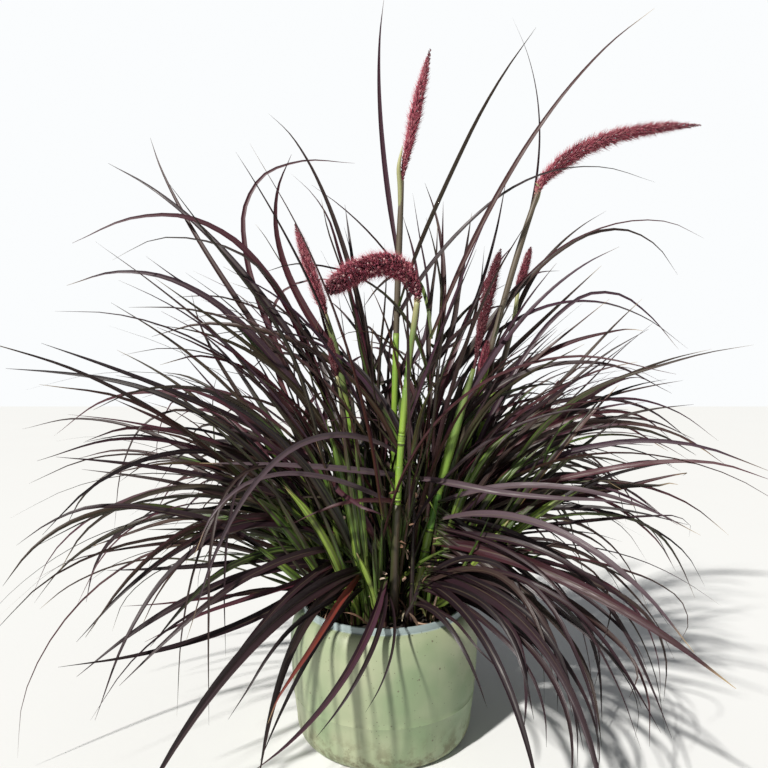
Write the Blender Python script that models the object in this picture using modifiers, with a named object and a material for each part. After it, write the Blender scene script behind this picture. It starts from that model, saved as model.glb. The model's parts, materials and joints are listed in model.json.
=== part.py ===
"""Purple fountain grass growing in a round pot, as separate closed solids.

Metres, +Z up. The origin is the middle of the pot's flat base, +X runs to the
right and -Y is the front, the side where the low blades hang over the rim.

The clump is a fountain: leafy shoots and flower stems stand in the soil like
seeds in a sunflower, lean outwards, and let their long blades arch over. The
stems, blades and plumes that give the clump its look are drawn by hand as
arcs through named places. The rest follow one rule with a seeded spread. Each
blade is turned a little until it clears everything placed before it.
"""
import math
import random
from typing import NamedTuple

import bmesh
import bpy
import numpy as np
from mathutils import Vector

PART_NAME = "potted_fountain_grass"

# The pot (a round shouldered pot with a thin lip and a rounded foot)
POT_HEIGHT = 0.172
RIM_RADIUS = 0.109
BODY_RADIUS = 0.1265
FOOT_RADIUS = 0.103
WALL = 0.0035
LIP_HEIGHT = 0.008
WAIST_RADIUS = 0.1175
SHOULDER_DROP = 0.040
FOOT_ROUND = 0.026
ROUND_STEPS = 3
POT_FLOOR = 0.006
SOIL_DROP = 0.012
SOIL_ROOM = 0.0008
TURN_STEPS = 24

# The gap that touching pieces keep
GAP = 0.0003

# The crown, where shoots and stems stand in the soil
CROWN_RADIUS = 0.078
FOOT_RISE = 0.010
GOLDEN_ANGLE = math.radians(137.508)
SHOOT_COUNT = 36
SHOOT_PIECES = 2
SHOOT_RADIUS = 0.0038
SHOOT_BOW = 0.06

# Flower stems and plumes
STEM_RADIUS = 0.0048
STEM_TOP_RADIUS = 0.0024
STEM_PIECES = 6
PLUME_PIECES = 6

# Blades
BLADE_WIDTH = 0.0110
BLADE_PIECES = 6
GROWN_PIECES = 5
BLADE_KEEL = 0.12
BLADE_TIP = 0.06
BLADE_FOOT = 0.0024

# What blades keep clear of
FLOOR_CLEARANCE = 0.012
POT_CLEARANCE = 0.011
RIM_CLEARANCE = 0.008
SOIL_CLEARANCE = 0.004
BAND_CLEARANCE = 0.0009

# The shoots and blades that follow the clump's rule: least and most of each
SEED = 7
SHOOT_WANDER = (-12, 12)
SHOOT_RISE = 83
SHOOT_LEAN = 36
SHOOT_RISE_LIMIT = 85
SHOOT_FALL = math.radians(10)
SHOOT_LENGTH = (0.10, 0.22)
BLADES_A_SHOOT = 3
FIRST_BLADE = 0.60
BLADE_SPACING = 0.18
BLADE_ASIDE = (15, 60)
BLADE_LEAN = (2, 16)
BLADE_FALL = (65, 130)
BLADE_LENGTH = (0.30, 0.46)
BLADE_SWING = (-20, 20)
BLADE_SIZE = (0.8, 1.2)

# How far a piece may be turned from its place to clear the others
SHOOT_TURN = math.radians(30)
FLAG_TURN = math.radians(15)
DRAWN_TURN = math.radians(27)
GROWN_TURN = math.radians(30)
TURN_STEP = math.radians(1.5)

UP = np.array((0.0, 0.0, 1.0))
SOIL_TOP = POT_HEIGHT - SOIL_DROP


class Arc(NamedTuple):
    """A blade that leaves its shoot at a share of the shoot's length."""
    along: float
    middle: tuple
    tip: tuple
    width: float = BLADE_WIDTH


class Shoot(NamedTuple):
    """A leafy shoot: where it ends, and its blades."""
    top: tuple
    arcs: tuple


class FlowerStem(NamedTuple):
    """A flower stem through its middle to its top, and its plume to the tip."""
    root: tuple
    middle: tuple
    top: tuple
    plume_middle: tuple
    plume_tip: tuple
    plume_radius: float
    flag: tuple


# The flower stems, from the tall one at the back to the small ones coming out
FLOWER_STEMS = (
    FlowerStem((0.010, 0.020), (0.015, 0.020, 0.445), (0.025, 0.020, 0.750),
               (0.043, 0.020, 0.840), (0.065, 0.020, 0.935), 0.0150,
               (Arc(0.84, (-0.006, 0.045, 0.860), (0.000, 0.050, 1.025), 0.009),)),
    FlowerStem((0.070, 0.030), (0.145, 0.035, 0.485), (0.225, 0.045, 0.750),
               (0.305, 0.025, 0.807), (0.435, 0.000, 0.820), 0.0135,
               (Arc(0.84, (0.234, 0.085, 0.860), (0.195, 0.090, 1.020), 0.008),)),
    FlowerStem((0.035, -0.030), (0.075, -0.025, 0.330), (0.120, -0.020, 0.485),
               (0.140, -0.010, 0.580), (0.160, 0.000, 0.650), 0.0100,
               (Arc(0.80, (0.190, -0.045, 0.560), (0.300, -0.060, 0.640), 0.010),)),
    FlowerStem((0.055, 0.000), (0.096, 0.016, 0.330), (0.136, 0.022, 0.480),
               (0.141, 0.022, 0.500), (0.146, 0.022, 0.525), 0.0060,
               (Arc(0.85, (0.190, 0.060, 0.590), (0.285, 0.080, 0.640), 0.009),)),
    FlowerStem((0.065, 0.050), (0.160, 0.080, 0.440), (0.205, 0.100, 0.605),
               (0.215, 0.100, 0.640), (0.225, 0.100, 0.675), 0.0080,
               (Arc(0.80, (0.255, 0.130, 0.660), (0.360, 0.150, 0.745), 0.009),)),
    FlowerStem((0.018, -0.060), (0.020, -0.085, 0.375), (0.040, -0.105, 0.565),
               (0.005, -0.120, 0.606), (-0.065, -0.150, 0.570), 0.0150,
               (Arc(0.60, (0.080, -0.125, 0.560), (0.130, -0.120, 0.680), 0.008),)),
    FlowerStem((-0.020, 0.000), (-0.045, 0.000, 0.400), (-0.080, 0.000, 0.560),
               (-0.104, 0.000, 0.630), (-0.122, 0.000, 0.685), 0.0095,
               (Arc(0.90, (-0.120, -0.040, 0.640), (-0.190, -0.060, 0.760), 0.009),)),
    FlowerStem((-0.030, -0.040), (-0.045, -0.040, 0.350), (-0.062, -0.040, 0.475),
               (-0.067, -0.040, 0.500), (-0.070, -0.040, 0.525), 0.0065,
               (Arc(0.85, (-0.110, -0.070, 0.540), (-0.190, -0.090, 0.590), 0.009),)),
    FlowerStem((0.068, 0.012), (0.150, 0.045, 0.340), (0.230, 0.055, 0.420),
               (0.245, 0.055, 0.445), (0.255, 0.055, 0.470), 0.0060,
               (Arc(0.80, (0.290, 0.020, 0.440), (0.410, 0.000, 0.470), 0.009),)),
)

# The shoots whose blades are drawn by hand
DRAWN_SHOOTS = (
    # Right of the middle, tall
    Shoot((0.075, 0.000, 0.540), (
        Arc(0.97, (0.205, -0.010, 0.805), (0.360, -0.025, 0.965), 0.010),
        Arc(0.80, (0.085, 0.030, 0.620), (0.060, 0.060, 0.760), 0.011),
        Arc(0.65, (0.120, 0.040, 0.560), (0.200, 0.100, 0.680), 0.012))),
    # Left, high arches
    Shoot((-0.070, 0.020, 0.445), (
        Arc(0.95, (-0.235, 0.055, 0.660), (-0.425, 0.105, 0.805), 0.012),
        Arc(0.85, (-0.210, 0.000, 0.665), (-0.410, -0.035, 0.650), 0.013),
        Arc(0.75, (-0.245, 0.000, 0.585), (-0.435, 0.000, 0.600), 0.013))),
    Shoot((-0.120, 0.045, 0.470), (
        Arc(0.95, (-0.285, 0.090, 0.690), (-0.375, 0.145, 0.860), 0.010),
        Arc(0.75, (-0.220, 0.010, 0.520), (-0.375, -0.045, 0.650), 0.011),
        Arc(0.90, (-0.210, 0.090, 0.735), (-0.045, 0.105, 0.805), 0.010))),
    Shoot((-0.015, 0.035, 0.500), (
        Arc(0.95, (-0.085, 0.055, 0.735), (-0.175, 0.090, 0.875), 0.010),
        Arc(0.85, (-0.145, 0.045, 0.640), (-0.135, 0.055, 0.800), 0.014),
        Arc(0.70, (-0.040, 0.060, 0.600), (-0.060, 0.100, 0.740), 0.011))),
    # Left, middle height
    Shoot((-0.080, 0.000, 0.355), (
        Arc(0.95, (-0.215, -0.055, 0.430), (-0.420, -0.090, 0.515), 0.016),
        Arc(0.85, (-0.215, -0.090, 0.395), (-0.365, -0.135, 0.430), 0.011),
        Arc(0.75, (-0.275, -0.035, 0.430), (-0.335, -0.080, 0.285), 0.010))),
    Shoot((-0.070, -0.045, 0.300), (
        Arc(0.95, (-0.200, -0.105, 0.350), (-0.360, -0.170, 0.385), 0.013),
        Arc(0.85, (-0.195, -0.135, 0.295), (-0.310, -0.225, 0.205), 0.012),
        Arc(0.70, (-0.185, -0.090, 0.245), (-0.320, -0.135, 0.250), 0.012))),
    Shoot((-0.050, -0.060, 0.265), (
        Arc(0.95, (-0.195, -0.170, 0.290), (-0.275, -0.260, 0.145), 0.012),
        Arc(0.85, (-0.155, -0.180, 0.205), (-0.305, -0.270, 0.200), 0.012),
        Arc(0.75, (-0.185, -0.135, 0.235), (-0.315, -0.215, 0.165), 0.013))),
    # Left front, hanging past the pot
    Shoot((-0.030, -0.070, 0.235), (
        Arc(0.95, (-0.125, -0.240, 0.215), (-0.210, -0.330, 0.100), 0.017),
        Arc(0.85, (-0.090, -0.180, 0.200), (-0.120, -0.260, 0.085), 0.014),
        Arc(0.70, (-0.075, -0.165, 0.178), (-0.125, -0.225, 0.085), 0.009))),
    Shoot((0.002, -0.070, 0.225), (
        Arc(0.95, (-0.045, -0.190, 0.150), (-0.130, -0.245, 0.085), 0.013),
        Arc(0.85, (-0.015, -0.170, 0.170), (-0.070, -0.210, 0.100), 0.009),
        Arc(0.75, (0.010, -0.160, 0.175), (-0.020, -0.190, 0.115), 0.006))),
    # Across the front
    Shoot((0.040, -0.045, 0.365), (
        Arc(0.98, (-0.100, -0.180, 0.395), (-0.185, -0.270, 0.225), 0.010),
        Arc(0.90, (-0.075, -0.105, 0.365), (-0.210, -0.145, 0.375), 0.011),
        Arc(0.70, (-0.090, -0.195, 0.365), (-0.150, -0.270, 0.290), 0.010))),
    Shoot((0.070, -0.055, 0.315), (
        Arc(0.98, (0.205, -0.135, 0.345), (0.345, -0.175, 0.300), 0.012),
        Arc(0.85, (0.190, -0.180, 0.305), (0.300, -0.250, 0.205), 0.011),
        Arc(0.70, (0.200, -0.170, 0.250), (0.335, -0.260, 0.175), 0.017))),
    # Right front, hanging past the pot
    Shoot((0.055, -0.070, 0.235), (
        Arc(0.95, (0.155, -0.240, 0.210), (0.185, -0.340, 0.085), 0.015),
        Arc(0.80, (0.110, -0.205, 0.190), (0.145, -0.285, 0.070), 0.012),
        Arc(0.65, (0.125, -0.170, 0.255), (0.165, -0.245, 0.180), 0.010),
        Arc(0.50, (0.075, -0.150, 0.190), (0.110, -0.190, 0.120), 0.008))),
    # Right, high and middle
    Shoot((0.065, 0.080, 0.430), (
        Arc(0.98, (0.260, 0.095, 0.585), (0.470, 0.135, 0.520), 0.011),
        Arc(0.85, (0.205, 0.110, 0.525), (0.340, 0.120, 0.650), 0.010),
        Arc(0.75, (0.180, 0.140, 0.470), (0.290, 0.190, 0.560), 0.011))),
    Shoot((0.110, 0.000, 0.335), (
        Arc(0.95, (0.280, 0.000, 0.450), (0.470, 0.040, 0.515), 0.014),
        Arc(0.85, (0.305, 0.080, 0.440), (0.490, 0.120, 0.380), 0.010),
        Arc(0.75, (0.270, -0.045, 0.410), (0.420, -0.090, 0.365), 0.010))),
    Shoot((0.112, -0.030, 0.262), (
        Arc(0.95, (0.310, 0.045, 0.360), (0.480, 0.080, 0.410), 0.013),
        Arc(0.85, (0.280, -0.045, 0.200), (0.345, -0.090, 0.035), 0.010),
        Arc(0.70, (0.230, -0.070, 0.200), (0.255, -0.125, 0.030), 0.009))),
)


class Band(NamedTuple):
    """Straight pieces of a stem or blade with the half sizes of its section."""
    start: np.ndarray
    end: np.ndarray
    across: np.ndarray
    face: np.ndarray
    half_width: np.ndarray
    half_depth: np.ndarray


class Line(NamedTuple):
    """A stem or blade: its points and its full width at each of them."""
    points: list
    widths: list


def unit(vectors):
    """Vectors scaled to length one."""
    return vectors / np.maximum(np.linalg.norm(vectors, axis=-1, keepdims=True), 1e-9)


def through(start, middle, tip, count):
    """Points on a smooth arc from start through middle to tip."""
    start, middle, tip = Vector(start), Vector(middle), Vector(tip)
    handle = 2.0 * middle - 0.5 * (start + tip)
    points = []
    for index in range(count + 1):
        t = index / count
        points.append((1 - t) ** 2 * start + 2 * t * (1 - t) * handle + t * t * tip)
    return points


def arch(start, heading, rise, fall, length, swing, count):
    """Points on a blade that rises, then falls over by an angle along its length."""
    points = [Vector(start)]
    for index in range(count):
        share = (index + 0.5) / count
        slope = rise - fall * share ** 1.3
        turn = heading + swing * share ** 2
        flat = math.cos(slope)
        step = Vector((flat * math.cos(turn), flat * math.sin(turn), math.sin(slope)))
        points.append(points[-1] + step * length / count)
    return points


def at_share(points, share):
    """The place at a share of the way along a chain of points."""
    place = share * (len(points) - 1)
    index = min(int(place), len(points) - 2)
    return points[index].lerp(points[index + 1], place - index)


def blade_shape(share):
    """A blade's share of its full width at a share of its length."""
    return max(BLADE_TIP, min(1.0, 0.42 + 2.3 * share) * (1.0 - share ** 2.0) ** 0.8)


def blade_line(points, width):
    """A blade along the points, whose narrow foot stays inside its shoot."""
    last = len(points) - 1
    widths = [width * blade_shape(index / last) for index in range(1, last + 1)]
    return Line(points, [BLADE_FOOT] + widths)


def stem_line(root, top_points, foot_width, top_width):
    """A stem that stands upright in the soil and then follows the points."""
    points = [Vector(root), Vector(root) + Vector((0.0, 0.0, FOOT_RISE))] + top_points[1:]
    last = len(points) - 1
    return Line(points, [foot_width + (top_width - foot_width) * i / last for i in range(last + 1)])


def band_of(line, depth_ratio):
    """The band of a line whose depth is a share of its width."""
    points = np.array([tuple(point) for point in line.points])
    widths = np.array(line.widths)
    along = unit(points[1:] - points[:-1])
    across = unit(np.cross(along, UP) + np.array((1e-6, 0.0, 0.0)))
    half_width = 0.5 * np.maximum(widths[:-1], widths[1:])
    return Band(points[:-1], points[1:], across, np.cross(across, along), half_width,
                half_width * depth_ratio)


def reach(band, toward):
    """How far a band's section reaches toward another."""
    wide = band.half_width * np.abs((band.across * toward).sum(-1))
    return wide + band.half_depth * np.abs((band.face * toward).sum(-1))


def spread(band, axis):
    """The band with its pieces along the given axis of a pair table."""
    return Band(*(np.expand_dims(part, axis) for part in band))


def free_space(first, second):
    """The least room between two bands, negative where they meet."""
    one, two = spread(first, 1), spread(second, 0)
    d1, d2, r = one.end - one.start, two.end - two.start, one.start - two.start
    a, e, b = (d1 * d1).sum(-1), (d2 * d2).sum(-1), (d1 * d2).sum(-1)
    c, f = (d1 * r).sum(-1), (d2 * r).sum(-1)
    s = np.clip((b * f - c * e) / np.maximum(a * e - b * b, 1e-12), 0.0, 1.0)
    t = np.clip((b * s + f) / e, 0.0, 1.0)
    s = np.clip((b * t - c) / a, 0.0, 1.0)
    apart = r + d1 * s[..., None] - d2 * t[..., None]
    toward = unit(apart)
    return float((np.linalg.norm(apart, axis=-1) - reach(one, toward) - reach(two, toward)).min())


def clears_pot(points):
    """True where the points stay off the pot, its soil and the floor."""
    for point in points:
        outward = math.hypot(point.x, point.y)
        over_rim = RIM_RADIUS - POT_CLEARANCE < outward < BODY_RADIUS + POT_CLEARANCE
        if point.z < FLOOR_CLEARANCE:
            return False
        if over_rim and point.z < POT_HEIGHT + RIM_CLEARANCE:
            return False
        if outward < RIM_RADIUS and point.z < SOIL_TOP + SOIL_CLEARANCE:
            return False
    return True


def degrees_in(chance, limits):
    """An angle between two limits in degrees, in radians."""
    return math.radians(chance.uniform(*limits))


def facing_front(heading):
    """How much a heading faces the front: 1 at the very front, 0 from the sides back."""
    return max(0.0, -math.sin(heading)) ** 2


def turned(points, angle):
    """The points turned about the upright line through the first."""
    start = points[0]
    c, s = math.cos(angle), math.sin(angle)
    moved = []
    for point in points:
        x, y = point.x - start.x, point.y - start.y
        moved.append(Vector((start.x + c * x - s * y, start.y + s * x + c * y, point.z)))
    return moved


def settled(line, depth_ratio, placed, most_turn):
    """The line turned the least that clears all bands placed before, or None."""
    for index in range(int(2 * most_turn / TURN_STEP) + 1):
        angle = TURN_STEP * ((index + 1) // 2) * (1 if index % 2 else -1)
        candidate = Line(turned(line.points, angle), line.widths)
        band = band_of(candidate, depth_ratio)
        if not clears_pot(candidate.points[1:]):
            continue
        if all(free_space(band, other) > BAND_CLEARANCE for other in placed):
            return candidate
    return None


class Clump:
    """Where every stem, blade and plume of the clump lies."""

    def __init__(self):
        self.stems = []
        self.shoots = []
        self.placed = []
        self.sites = self.crown_sites(SHOOT_COUNT + len(FLOWER_STEMS))
        for stem in FLOWER_STEMS:
            self.place_flower_stem(stem)
        for shoot in DRAWN_SHOOTS:
            self.place_drawn_shoot(shoot)
        self.grow_other_shoots()

    def crown_sites(self, count):
        """Places in the soil, spread like the seeds of a sunflower."""
        sites = []
        for index in range(count):
            outward = CROWN_RADIUS * math.sqrt((index + 0.5) / count)
            turn = index * GOLDEN_ANGLE
            sites.append(Vector((outward * math.cos(turn), outward * math.sin(turn), SOIL_TOP + GAP)))
        return sites

    def stand(self, x, y, shape):
        """A stem of the given shape on the nearest free place where it clears the others."""
        for site in sorted(self.sites, key=lambda place: math.hypot(place.x - x, place.y - y)):
            line = settled(shape(site), 1.0, self.placed, SHOOT_TURN)
            if line:
                self.sites.remove(site)
                return line
        raise ValueError("no free place in the soil")

    def place_flower_stem(self, stem):
        """A flower stem, its flag blade and its plume."""

        def shape(root):
            return stem_line(root, through(root, stem.middle, stem.top, STEM_PIECES),
                             2 * STEM_RADIUS, 2 * STEM_TOP_RADIUS)
        line = self.stand(*stem.root, shape)
        end = line.points[-1]
        onward = (end - line.points[-2]).normalized()
        base = end + onward * (GAP + 0.0002)
        arc = through(base, stem.plume_middle, stem.plume_tip, PLUME_PIECES)
        arc[1:1] = [base + onward * 0.004]
        last = len(arc) - 1
        widths = [2 * stem.plume_radius * plume_shape(index / last) for index in range(last + 1)]
        plume = Line(arc, widths)
        own = [band_of(line, 1.0), band_of(plume, 1.0)]
        flags = []
        for flag in stem.flag:
            start = at_share(line.points, flag.along)
            points = through(start, flag.middle, flag.tip, BLADE_PIECES)
            away = settled(blade_line(points, flag.width), BLADE_KEEL, self.placed + [own[1]], FLAG_TURN)
            if away:
                flags.append(away)
        self.placed.extend(own + [band_of(flag, BLADE_KEEL) for flag in flags])
        self.stems.append((line, flags, plume))

    def add_shoot(self, line, blades):
        """Keep a shoot and what its pieces take up."""
        self.shoots.append((line, blades))
        self.placed.append(band_of(line, 1.0))
        self.placed.extend(band_of(blade, BLADE_KEEL) for blade in blades)

    def place_drawn_shoot(self, shoot):
        """A shoot whose blades are drawn by hand."""
        top = Vector(shoot.top)

        def shape(root):
            middle = root.lerp(top, 0.5) + Vector((0.0, 0.0, SHOOT_BOW * (top - root).length))
            points = through(root, middle, top, SHOOT_PIECES + 1)
            return stem_line(root, points, 2 * SHOOT_RADIUS, SHOOT_RADIUS)
        line = self.stand(top.x, top.y, shape)
        blades = []
        for arc in shoot.arcs:
            start = at_share(line.points, arc.along)
            points = through(start, arc.middle, arc.tip, BLADE_PIECES)
            blade = settled(blade_line(points, arc.width), BLADE_KEEL, self.placed, DRAWN_TURN)
            if blade:
                blades.append(blade)
        self.add_shoot(line, blades)

    def grow_other_shoots(self):
        """The shoots that follow the clump's rule, from the middle outwards."""
        chance = random.Random(SEED)
        for root in list(self.sites):
            outward = math.hypot(root.x, root.y) / CROWN_RADIUS
            heading = math.atan2(root.y, root.x) + degrees_in(chance, SHOOT_WANDER)
            facing = 12 * facing_front(heading)
            rise = SHOOT_RISE - SHOOT_LEAN * outward + chance.uniform(-4, 4) + facing
            rise = math.radians(min(SHOOT_RISE_LIMIT, rise))
            length = chance.uniform(*SHOOT_LENGTH)
            foot = root + Vector((0.0, 0.0, FOOT_RISE))
            points = arch(foot, heading, rise, SHOOT_FALL, length, 0.0, SHOOT_PIECES)
            line = stem_line(root, points, 2 * SHOOT_RADIUS, SHOOT_RADIUS)
            line = settled(line, 1.0, self.placed, SHOOT_TURN)
            if line:
                self.add_shoot(line, self.grown_blades(line, heading, rise, chance))

    def grown_blades(self, line, heading, rise, chance):
        """The blades of a shoot, which leave it on alternate sides."""
        blades = []
        for index in range(BLADES_A_SHOOT):
            side = 1 if index % 2 else -1
            start = at_share(line.points, FIRST_BLADE + BLADE_SPACING * index)
            turn = heading + side * degrees_in(chance, BLADE_ASIDE)
            facing = facing_front(turn)
            lift = rise - degrees_in(chance, BLADE_LEAN) + math.radians(14) * facing
            fall = degrees_in(chance, BLADE_FALL) * (1 - 0.55 * facing)
            length = chance.uniform(*BLADE_LENGTH)
            swing = degrees_in(chance, BLADE_SWING)
            width = BLADE_WIDTH * chance.uniform(*BLADE_SIZE)
            points = arch(start, turn, lift, fall, length, swing, GROWN_PIECES)
            blade = settled(blade_line(points, width), BLADE_KEEL, self.placed, GROWN_TURN)
            if blade:
                blades.append(blade)
        return blades


def plume_shape(share):
    """A plume's thickness at a share of its length: a foxtail that tapers."""
    return max(0.10, min(1.0, 0.28 + 4.2 * share) * (1.0 - share ** 3.0) ** 0.7)


def remove_everything():
    """Empty the scene."""
    for scene_object in list(bpy.data.objects):
        bpy.data.objects.remove(scene_object, do_unlink=True)


def collection(name):
    """A collection of the scene."""
    made = bpy.data.collections.new(name)
    bpy.context.scene.collection.children.link(made)
    return made


def finish(name, color, roughness):
    """A Principled material."""
    material = bpy.data.materials.new(name)
    material.use_nodes = True
    shader = material.node_tree.nodes["Principled BSDF"]
    shader.inputs["Base Color"].default_value = (*color, 1.0)
    shader.inputs["Roughness"].default_value = roughness
    shader.inputs["Metallic"].default_value = 0.0
    return material


def blade_section(guides):
    """The section that a blade is drawn with: one wide, with a shallow keel."""
    curve = bpy.data.curves.new("blade_section", "CURVE")
    curve.dimensions = "2D"
    spline = curve.splines.new("POLY")
    spline.points.add(2)
    for point, place in zip(spline.points, ((-0.5, 0.0), (0.0, -BLADE_KEEL), (0.5, 0.0))):
        point.co = (place[0], place[1], 0.0, 1.0)
    spline.use_cyclic_u = True
    section = bpy.data.objects.new("blade_section", curve)
    section.hide_render = True
    section.display_type = "WIRE"
    guides.objects.link(section)
    return section


def half_turns(points):
    """The half turn that each point's section needs where a blade leans past upright."""
    steps = [(after - before).normalized() for before, after in zip(points, points[1:])]
    turns, tilt = [0.0], 0.0
    sideways = Vector((steps[0].y, -steps[0].x))
    for before, after in zip(steps, steps[1:] + steps[-1:]):
        along = before + after
        across = Vector((along.y, -along.x))
        if across.dot(sideways) < 0.0:
            tilt = math.pi - tilt
        sideways = across
        turns.append(tilt)
    return turns


def swept(name, line, guides, section=None, sides=1):
    """A closed solid along a line: a blade with a section, or else a round stem."""
    curve = bpy.data.curves.new(name, "CURVE")
    curve.dimensions = "3D"
    curve.twist_mode = "Z_UP" if section else "MINIMUM"
    curve.render_resolution_u = 0
    spline = curve.splines.new("POLY")
    spline.points.add(len(line.points) - 1)
    tilts = half_turns(line.points) if section else [0.0] * len(line.points)
    for point, place, width, tilt in zip(spline.points, line.points, line.widths, tilts):
        point.co = (*place, 1.0)
        point.radius = width
        point.tilt = tilt
    if section:
        curve.bevel_mode = "OBJECT"
        curve.bevel_object = section
    else:
        curve.bevel_depth = 0.5
        curve.bevel_resolution = sides
    curve.use_fill_caps = True
    guide = bpy.data.objects.new(name, curve)
    guides.objects.link(guide)
    bpy.context.view_layer.update()
    evaluated = guide.evaluated_get(bpy.context.evaluated_depsgraph_get())
    mesh = bpy.data.meshes.new_from_object(evaluated)
    bpy.data.objects.remove(guide, do_unlink=True)
    welded = bmesh.new()
    welded.from_mesh(mesh)
    bmesh.ops.remove_doubles(welded, verts=welded.verts, dist=1e-6)
    bmesh.ops.triangulate(welded, faces=welded.faces)
    bmesh.ops.recalc_face_normals(welded, faces=welded.faces)
    if welded.calc_volume(signed=True) < 0.0:
        bmesh.ops.reverse_faces(welded, faces=welded.faces)
    welded.to_mesh(mesh)
    welded.free()
    return mesh


def fused(meshes, guides):
    """One solid of a shoot or stem and the blades that grow from it."""
    body = bpy.data.objects.new("body", meshes[0])
    guides.objects.link(body)
    grown = []
    for mesh in meshes[1:]:
        blade = bpy.data.objects.new("blade", mesh)
        guides.objects.link(blade)
        grown.append(blade)
        union = body.modifiers.new("union", "BOOLEAN")
        union.operation = "UNION"
        union.solver = "EXACT"
        union.object = blade
    bpy.context.view_layer.update()
    evaluated = body.evaluated_get(bpy.context.evaluated_depsgraph_get())
    mesh = bpy.data.meshes.new_from_object(evaluated)
    for used in [body] + grown:
        bpy.data.objects.remove(used, do_unlink=True)
    return mesh


def add_piece(name, mesh, material, parts):
    """A named sub-part."""
    piece = bpy.data.objects.new(name, mesh)
    piece.data.materials.clear()
    piece.data.materials.append(material)
    parts.objects.link(piece)
    return piece


def turned_piece(name, profile, material, parts):
    """A turned shape from a profile of radius and height, outer side downwards."""
    mesh = bpy.data.meshes.new(name)
    outline = bmesh.new()
    corners = [outline.verts.new((radius, 0.0, height)) for radius, height in profile]
    for first, second in zip(corners, corners[1:]):
        outline.edges.new((first, second))
    outline.to_mesh(mesh)
    outline.free()
    piece = add_piece(name, mesh, material, parts)
    screw = piece.modifiers.new("turn", "SCREW")
    screw.axis = "Z"
    screw.steps = TURN_STEPS
    screw.render_steps = TURN_STEPS
    screw.use_merge_vertices = True
    screw.merge_threshold = 0.0001
    return piece


def pot_side():
    """The pot's outer side from the lip's top edge down to the base."""
    neck = POT_HEIGHT - LIP_HEIGHT
    side = [(RIM_RADIUS, POT_HEIGHT), (RIM_RADIUS, neck)]
    for index in range(1, ROUND_STEPS + 1):
        turn = 0.5 * math.pi * index / ROUND_STEPS
        side.append((RIM_RADIUS + (BODY_RADIUS - RIM_RADIUS) * math.sin(turn),
                     neck - SHOULDER_DROP * (1.0 - math.cos(turn))))
    side.append((0.5 * (BODY_RADIUS + WAIST_RADIUS) + 0.0015, 0.5 * (neck - SHOULDER_DROP + FOOT_ROUND)))
    side.append((WAIST_RADIUS, FOOT_ROUND))
    for index in range(1, ROUND_STEPS + 1):
        turn = 0.5 * math.pi * index / ROUND_STEPS
        side.append((FOOT_RADIUS + (WAIST_RADIUS - FOOT_RADIUS) * math.cos(turn),
                     FOOT_ROUND * (1.0 - math.sin(turn))))
    return side


def pot_inside():
    """The pot's inner side from the middle of its floor up to the lip."""
    outer = pot_side()
    inner = [(0.0, POT_FLOOR), (FOOT_RADIUS - WALL, POT_FLOOR)]
    for radius, height in reversed(outer):
        if height >= FOOT_ROUND:
            inner.append((radius - WALL, height))
    return inner


def build_pot(material, parts):
    """The pot, one shell with an open top."""
    profile = pot_inside() + pot_side() + [(0.0, 0.0)]
    turned_piece("pot", profile, material, parts)


def build_soil(material, parts):
    """The soil, which fills the pot to a little under the lip."""
    floor, inset = POT_FLOOR + GAP, WALL + SOIL_ROOM
    profile = [(0.0, SOIL_TOP), (RIM_RADIUS - inset, SOIL_TOP),
               (BODY_RADIUS - inset, POT_HEIGHT - LIP_HEIGHT - SHOULDER_DROP),
               (WAIST_RADIUS - inset, FOOT_ROUND), (FOOT_RADIUS - inset, floor), (0.0, floor)]
    turned_piece("potting_soil", profile, material, parts)


def build_clump(parts, guides):
    """The flower stems, plumes and leafy shoots."""
    clump = Clump()
    section = blade_section(guides)
    leaf = finish("leaf_burgundy", (0.055, 0.020, 0.030), 0.45)
    green = finish("stem_green", (0.20, 0.30, 0.04), 0.50)
    rose = finish("plume_rose", (0.30, 0.05, 0.07), 0.80)
    for number, (line, flags, plume) in enumerate(clump.stems, start=1):
        name = f"flower_stem_{number}"
        meshes = [swept(name, line, guides)]
        meshes += [swept("blade", flag, guides, section) for flag in flags]
        add_piece(name, fused(meshes, guides), green, parts)
        add_piece(f"plume_{number}", swept("plume", plume, guides), rose, parts)
    for number, (line, blades) in enumerate(clump.shoots, start=1):
        name = f"shoot_{number:02d}"
        meshes = [swept(name, line, guides, sides=0)]
        meshes += [swept("blade", blade, guides, section) for blade in blades]
        add_piece(name, fused(meshes, guides), leaf, parts)
    return clump


def main():
    """Build the potted clump."""
    remove_everything()
    parts = collection(PART_NAME)
    guides = collection("guides")
    build_pot(finish("pot_plastic", (0.52, 0.53, 0.36), 0.35), parts)
    build_soil(finish("soil_dark", (0.020, 0.014, 0.010), 0.95), parts)
    build_clump(parts, guides)


main()
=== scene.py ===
"""Purple fountain grass in a round garden pot: its fine form and its finishes.

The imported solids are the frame. The stems, shoots and arcs that the solids follow
are laid out here again, so each fine leaf, stem and plume lies where its solid is,
and the many finer leaves between them grow from the same shoots by the same rule.
Metres, +Z up; -Y is the front, the side where the low leaves hang over the rim.
"""

import json
import logging
import math
import random
from dataclasses import dataclass, field, replace
from enum import Enum
from functools import cache
from typing import Callable, Iterable, Optional, Sequence

import bmesh
import bpy
import numpy as np
from mathutils import Matrix, Vector, noise

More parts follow.
